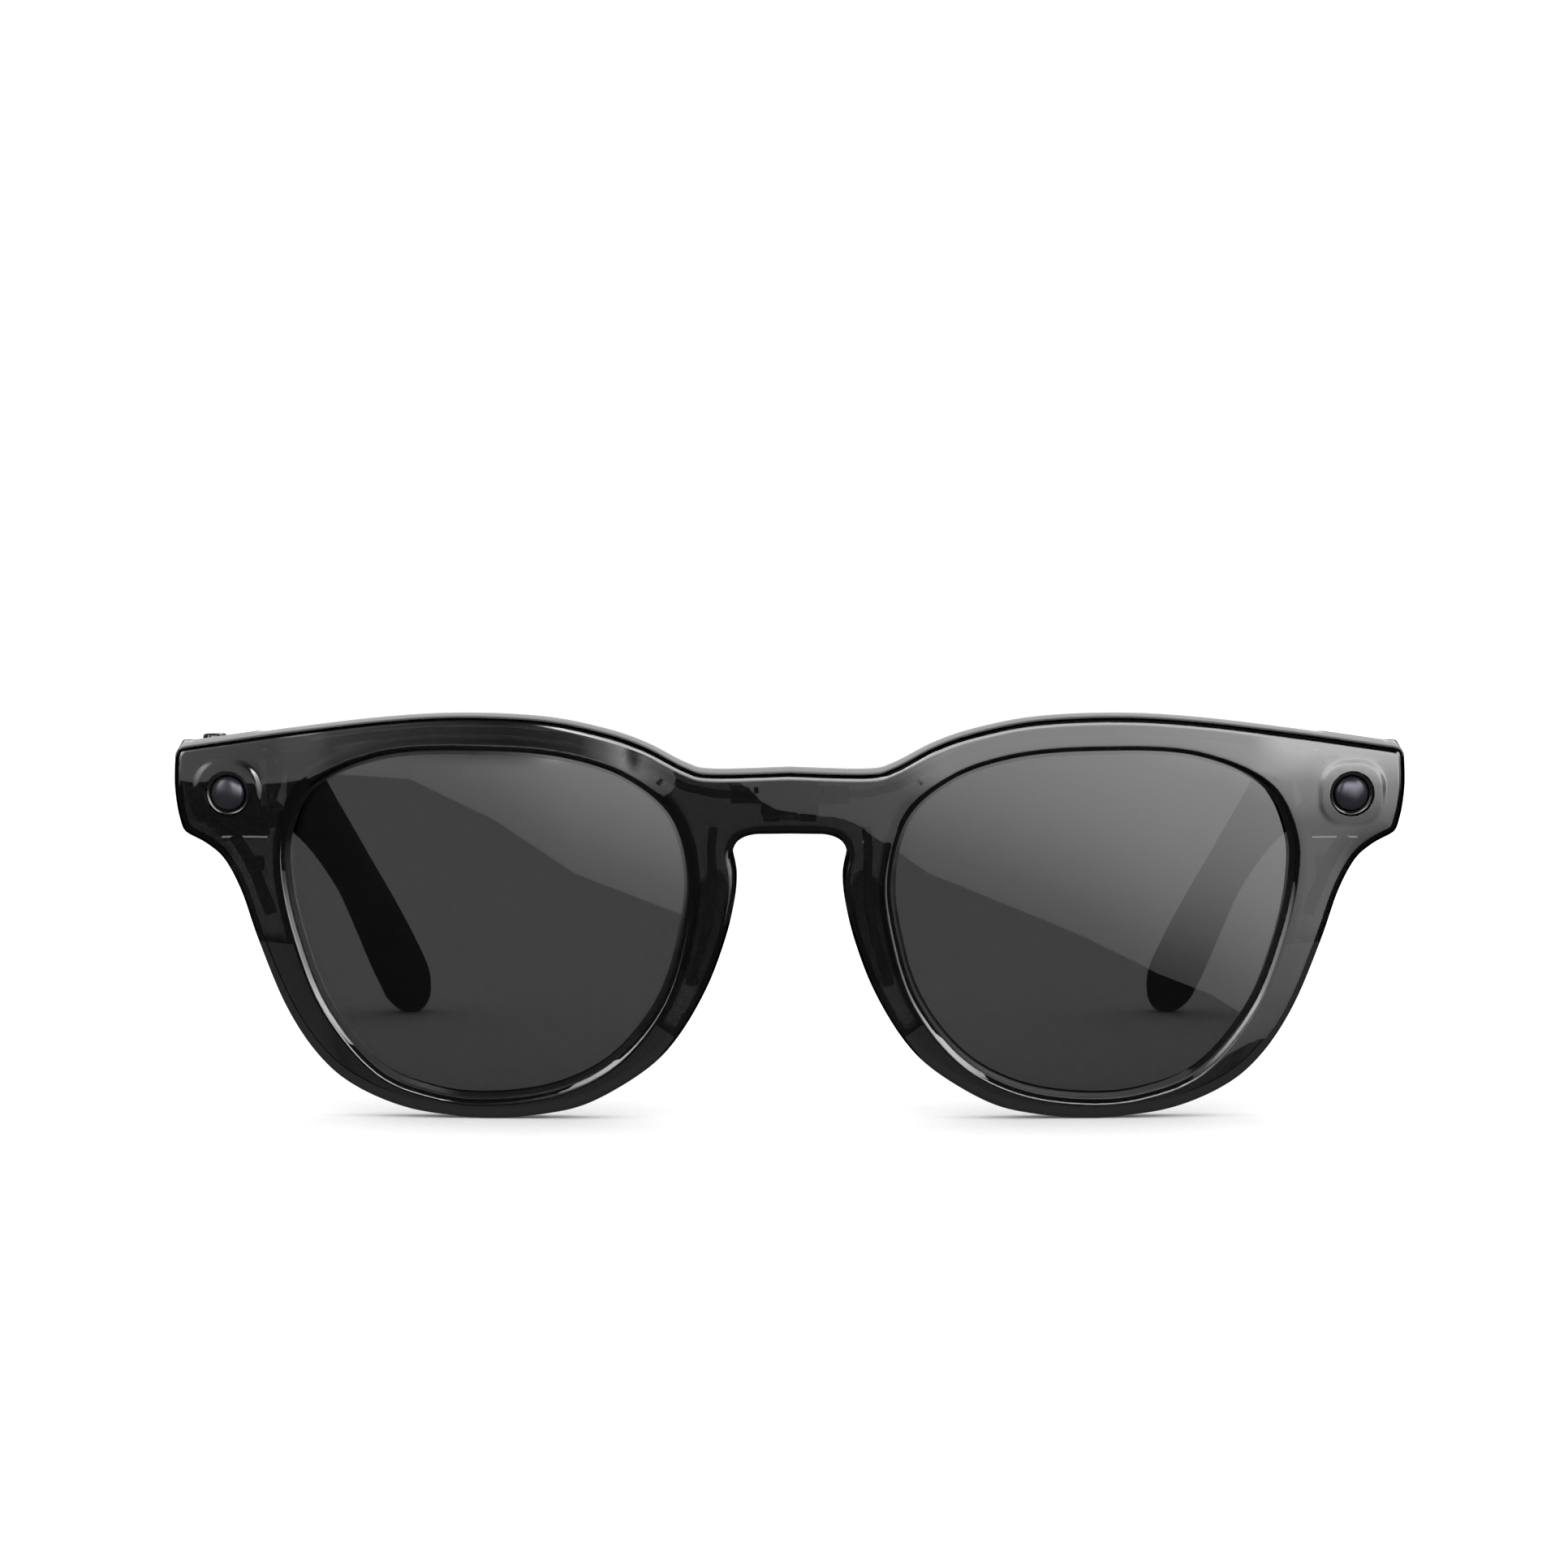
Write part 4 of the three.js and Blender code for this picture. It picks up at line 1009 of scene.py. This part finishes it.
def pill(name, steps, mirror, sides, angle):
    """An upright body with the button's outline, from steps of (growth, height)."""
    centre = (BUTTON_AT, (BUTTON_FROM + BUTTON_TO) / 2)
    half = (BUTTON_TO - BUTTON_FROM) / 2 - BUTTON_HALF
    rings = [stadium(centre, half, BUTTON_HALF + grow, z, sides) for grow, z in steps]
    return tube(name, rings, temple_matrix, mirror, angle)


def temple_tools(mirror):
    """What is cut from the temple's shell: room for the panel, the hinge, the cable and the sound, and the
    hollow for what it carries."""
    tools = [box_mesh("tool", *grown(PANEL_BOX, SEAM), temple_matrix, mirror)]
    tools += hinge_tools(temple_matrix, ARM_LEAF, mirror)
    tools.append(box_mesh("tool", *CABLE_ROOM, temple_matrix, mirror))
    tools.append(box_mesh("tool", *SOUND_SLOT, temple_matrix, mirror))
    tools.append(rod_mesh("tool", MIC_PORT_AT, MIC_PORT_RADIUS, "z", -8, -4, 32, temple_matrix, mirror))
    if mirror:
        tools.append(pill("tool", [(BUTTON_GAP, 3.0), (BUTTON_GAP, 8)], mirror, 40, 35))
    inner = temple_rings(32, TEMPLE_WALL)
    first, last = (int(np.searchsorted(CENTRES[:, 1], place)) for place in (HOLLOW_FROM, HOLLOW_TO))
    tools.append(tube("tool", inner[first:last], temple_matrix, mirror))
    return tools


def temple(side, mirror):
    """The shell of one temple, standing flat on its tip, and the panel on its inner side."""
    body = tube(f"temple_{side}_body", RINGS, temple_matrix, mirror, 45)
    carve(body, temple_tools(mirror))
    carve(body, [box_mesh("tool", (-90, -90, -10), (90, 200, 0))])
    finish_piece(tidy_normals(body, 40), f"temple_{side}", satin_black, "gloss_black", f"temple_shell_{side}")
    panel = tube(f"temple_{side}_panel", RINGS, temple_matrix, mirror, 45)
    carve(panel, [box_mesh("tool", *PANEL_BOX, temple_matrix, mirror)], "INTERSECT")
    if not mirror:
        (_, y0, z0), (_, y1, z1) = grown(SLIDER, SLIDER_GAP)
        carve(panel, [box_mesh("tool", (-5, y0, z0), (3, y1 + SLIDER_TRAVEL, z1), temple_matrix, mirror)])
    bevel(tidy_normals(panel, 40), 0.12)
    finish_piece(panel, f"temple_{side}", satin_black, "satin_black", f"temple_cover_{side}")


temple("left", False)
temple("right", True)


def capture_button():
    """A pill with a foot that keeps it in and a rounded top."""
    steps = [(0.4, 2.6), (0.4, 3.35), (0, 3.4), (0, BUTTON_TOP - BUTTON_ROUND)]
    for a in (22, 45, 68, 90):
        turn = math.radians(a)
        height = BUTTON_TOP - BUTTON_ROUND + BUTTON_ROUND * math.sin(turn)
        steps.append((BUTTON_ROUND * (math.cos(turn) - 1), height))
    steps.append((-0.75, BUTTON_TOP - 0.06))
    made = pill("capture_button_fine", steps, True, 48, 50)
    finish_piece(made, "capture_button", gloss_black, "gloss_black", "capture_button")


def power_slider():
    """A block with four grip grooves."""
    (x0, y0, z0), (_, _, z1) = SLIDER
    made = box_mesh("power_slider_fine", *SLIDER, temple_matrix)
    grooves = []
    for k in range(4):
        y = y0 + GRIP_FIRST + k * GRIP_STEP
        grooves.append(
            box_mesh("tool", (x0 - 1, y, z0 - 1), (x0 + GRIP_DEPTH, y + GRIP_WIDTH, z1 + 1), temple_matrix))
    carve(made, grooves)
    bevel(tidy_normals(made, 30), 0.07)
    finish_piece(made, "power_switch", gloss_black, "gloss_black", "power_slider")


capture_button()
power_slider()

# ---- the CAD nodes that show as they are ----
for name, node in nodes.items():
    if node.hide_render:
        continue
    slot = node.data.materials[0].name.split(".")[0]
    node.data.materials[0] = blued_steel if name == "bridge_plate" else FINISHES[slot]
    bevel(node, 0.06)


# ---- camera ----
CAMERA_FROM, CAMERA_TO = Vector((-0.0007, -0.770, 0.0805)), Vector((-0.0007, -0.070, 0.04124))
view = bpy.data.cameras.new("camera")
view.lens, view.sensor_width = 132.0, 36
view.clip_start, view.clip_end = 0.01, 20
camera = bpy.data.objects.new("camera", view)
camera.location = CAMERA_FROM
camera.rotation_mode = "QUATERNION"
camera.rotation_quaternion = (CAMERA_TO - camera.location).to_track_quat("-Z", "Y")
scene.collection.objects.link(camera)
scene.camera = camera


# ---- studio ----
SKY_CENTRE = 0.03  # height of the middle of the sky, in metres
DAYLIGHT, FILL, BACKDROP = 1.6, 0.06, 0.97


def glow(name, strength=None):
    """A light-giving surface. Without (strength) it takes it from the mesh's own attribute."""
    made = bpy.data.materials.new(name)
    made.use_nodes = True
    tree = made.node_tree
    tree.nodes.clear()
    out = shader_node(tree, "OutputMaterial")
    light = shader_node(tree, "Emission")
    tree.links.new(light.outputs["Emission"], out.inputs["Surface"])
    if strength is None:
        own = shader_node(tree, "Attribute")
        own.attribute_name = "strength"
        tree.links.new(own.outputs["Fac"], light.inputs["Strength"])
    else:
        light.inputs["Strength"].default_value = strength
    return made


def sky_patch(name, bearings, low, high, radius, surface, strength=None, across=60, up=48):
    """A patch of a sphere round the glasses, for reflections only. Bearing 0 is in front of the glasses and
    180 behind them. (low) and (high) give its lower and upper edge, in degrees, at a bearing."""
    verts, faces, strengths = [], [], []
    for j in range(up + 1):
        for i in range(across + 1):
            bearing = bearings[0] + (bearings[1] - bearings[0]) * i / across
            over = (high(bearing) - low(bearing)) * j / up
            b, h = math.radians(bearing), math.radians(low(bearing) + over)
            verts.append((radius * math.sin(b) * math.cos(h), -radius * math.cos(b) * math.cos(h),
                          radius * math.sin(h) + SKY_CENTRE))
            strengths.append(strength(bearing, over) if strength else 1)
    for j in range(up):
        for i in range(across):
            a = j * (across + 1) + i
            faces.append((a, a + 1, a + across + 2, a + across + 1))
    mesh = bpy.data.meshes.new(name)
    mesh.from_pydata(verts, [], faces)
    mesh.materials.append(surface)
    mesh.attributes.new("strength", "FLOAT", "POINT").data.foreach_set("value", strengths)
    made = bpy.data.objects.new(name, mesh)
    scene.collection.objects.link(made)
    made.visible_camera = made.visible_diffuse = made.visible_transmission = False
    made.visible_volume_scatter = made.visible_shadow = False


world = bpy.data.worlds.new("world")
world.use_nodes = True
world.node_tree.nodes["Background"].inputs["Color"].default_value = (1, 1, 1, 1)
world.node_tree.nodes["Background"].inputs["Strength"].default_value = DAYLIGHT
world.cycles_visibility.glossy = False
scene.world = world

# The softbox: its lower edge slants and it grows brighter above it. A flag stands in front of its upper left.
SOFTBOX_HEIGHT = 45
SOFTBOX_RISE = [(0, 0.9), (2, 1.25), (4, 1.85), (6.5, 2.6), (9, 3.3), (12, 3.95), (15, 4.6), (18, 6.6),
                (22, 9.5), (30, 10.5), (38, 9), (45, 6)]  # degrees above its lower edge, brightness
SOFTBOX_EDGE = [(-56, -8), (-38, -6), (-21, -6.8), (-12.4, -9.8), (-4, -13.9), (4.6, -16.3), (12.4, -18.4),
                (21, -21), (27, -22.3), (38, -26), (44, -12), (62, -8)]  # bearing, height
FLAG = [(-46, 9), (-40, 6), (-32, 1.3), (-24, 1), (-18, 0.45), (-12, 0.12), (-9, 0.3)]  # bearing, brightness
FLAG_LOW, FLAG_RIGHT = -6.2, -6
GLOW_AT, GLOW_HALF, GLOW = -6.5, 4, 0.9  # light that spills past the flag's right edge


def read_at(place, line):
    """The value at (place) of a list of places and values."""
    return float(np.interp(place, *zip(*line)))


def softbox_low(bearing):
    return read_at(bearing, SOFTBOX_EDGE)


def softbox_high(bearing):
    return softbox_low(bearing) + SOFTBOX_HEIGHT


def softbox_strength(bearing, over):
    full = read_at(over, SOFTBOX_RISE)
    above = smooth((softbox_low(bearing) + over - FLAG_LOW) / 1.5)
    share = above * smooth((FLAG_RIGHT - bearing) / 3)
    spill = 1 + GLOW * above * smooth(1 - abs(bearing - GLOW_AT) / GLOW_HALF)
    return float(full + (min(read_at(bearing, FLAG), full) - full) * share) * float(spill)


sky_patch("softbox", (-56, 62), softbox_low, softbox_high, 1.6, glow("softbox"), softbox_strength, 118, 90)
sky_patch("fill", (-85, 85), lambda b: -60, lambda b: 60, 1.9, glow("fill", FILL))
sky_patch("backdrop_light", (105, 255), lambda b: 5, lambda b: 85, 1.9, glow("backdrop_light", BACKDROP))

FLOOR_HALF = 3
paper = material(
    "floor_paper", ((0.86, 0.86, 0.86), (0.9, 0.9, 0.9)), (0.8, 0.9), [(900, 0.1, 0.05)],
    specular_ior_level=0.0)
floor_mesh = bpy.data.meshes.new("floor")
corners = [(x * FLOOR_HALF, y * FLOOR_HALF, 0) for x, y in ((-1, -1), (1, -1), (1, 1), (-1, 1))]
floor_mesh.from_pydata(corners, [], [(0, 1, 2, 3)])
floor_mesh.materials.append(paper)
floor = bpy.data.objects.new("floor", floor_mesh)
floor.visible_glossy = False
scene.collection.objects.link(floor)

scene.view_settings.view_transform = "Standard"
scene.cycles.max_bounces = 20
scene.cycles.transmission_bounces = 16
scene.cycles.glossy_bounces = 8
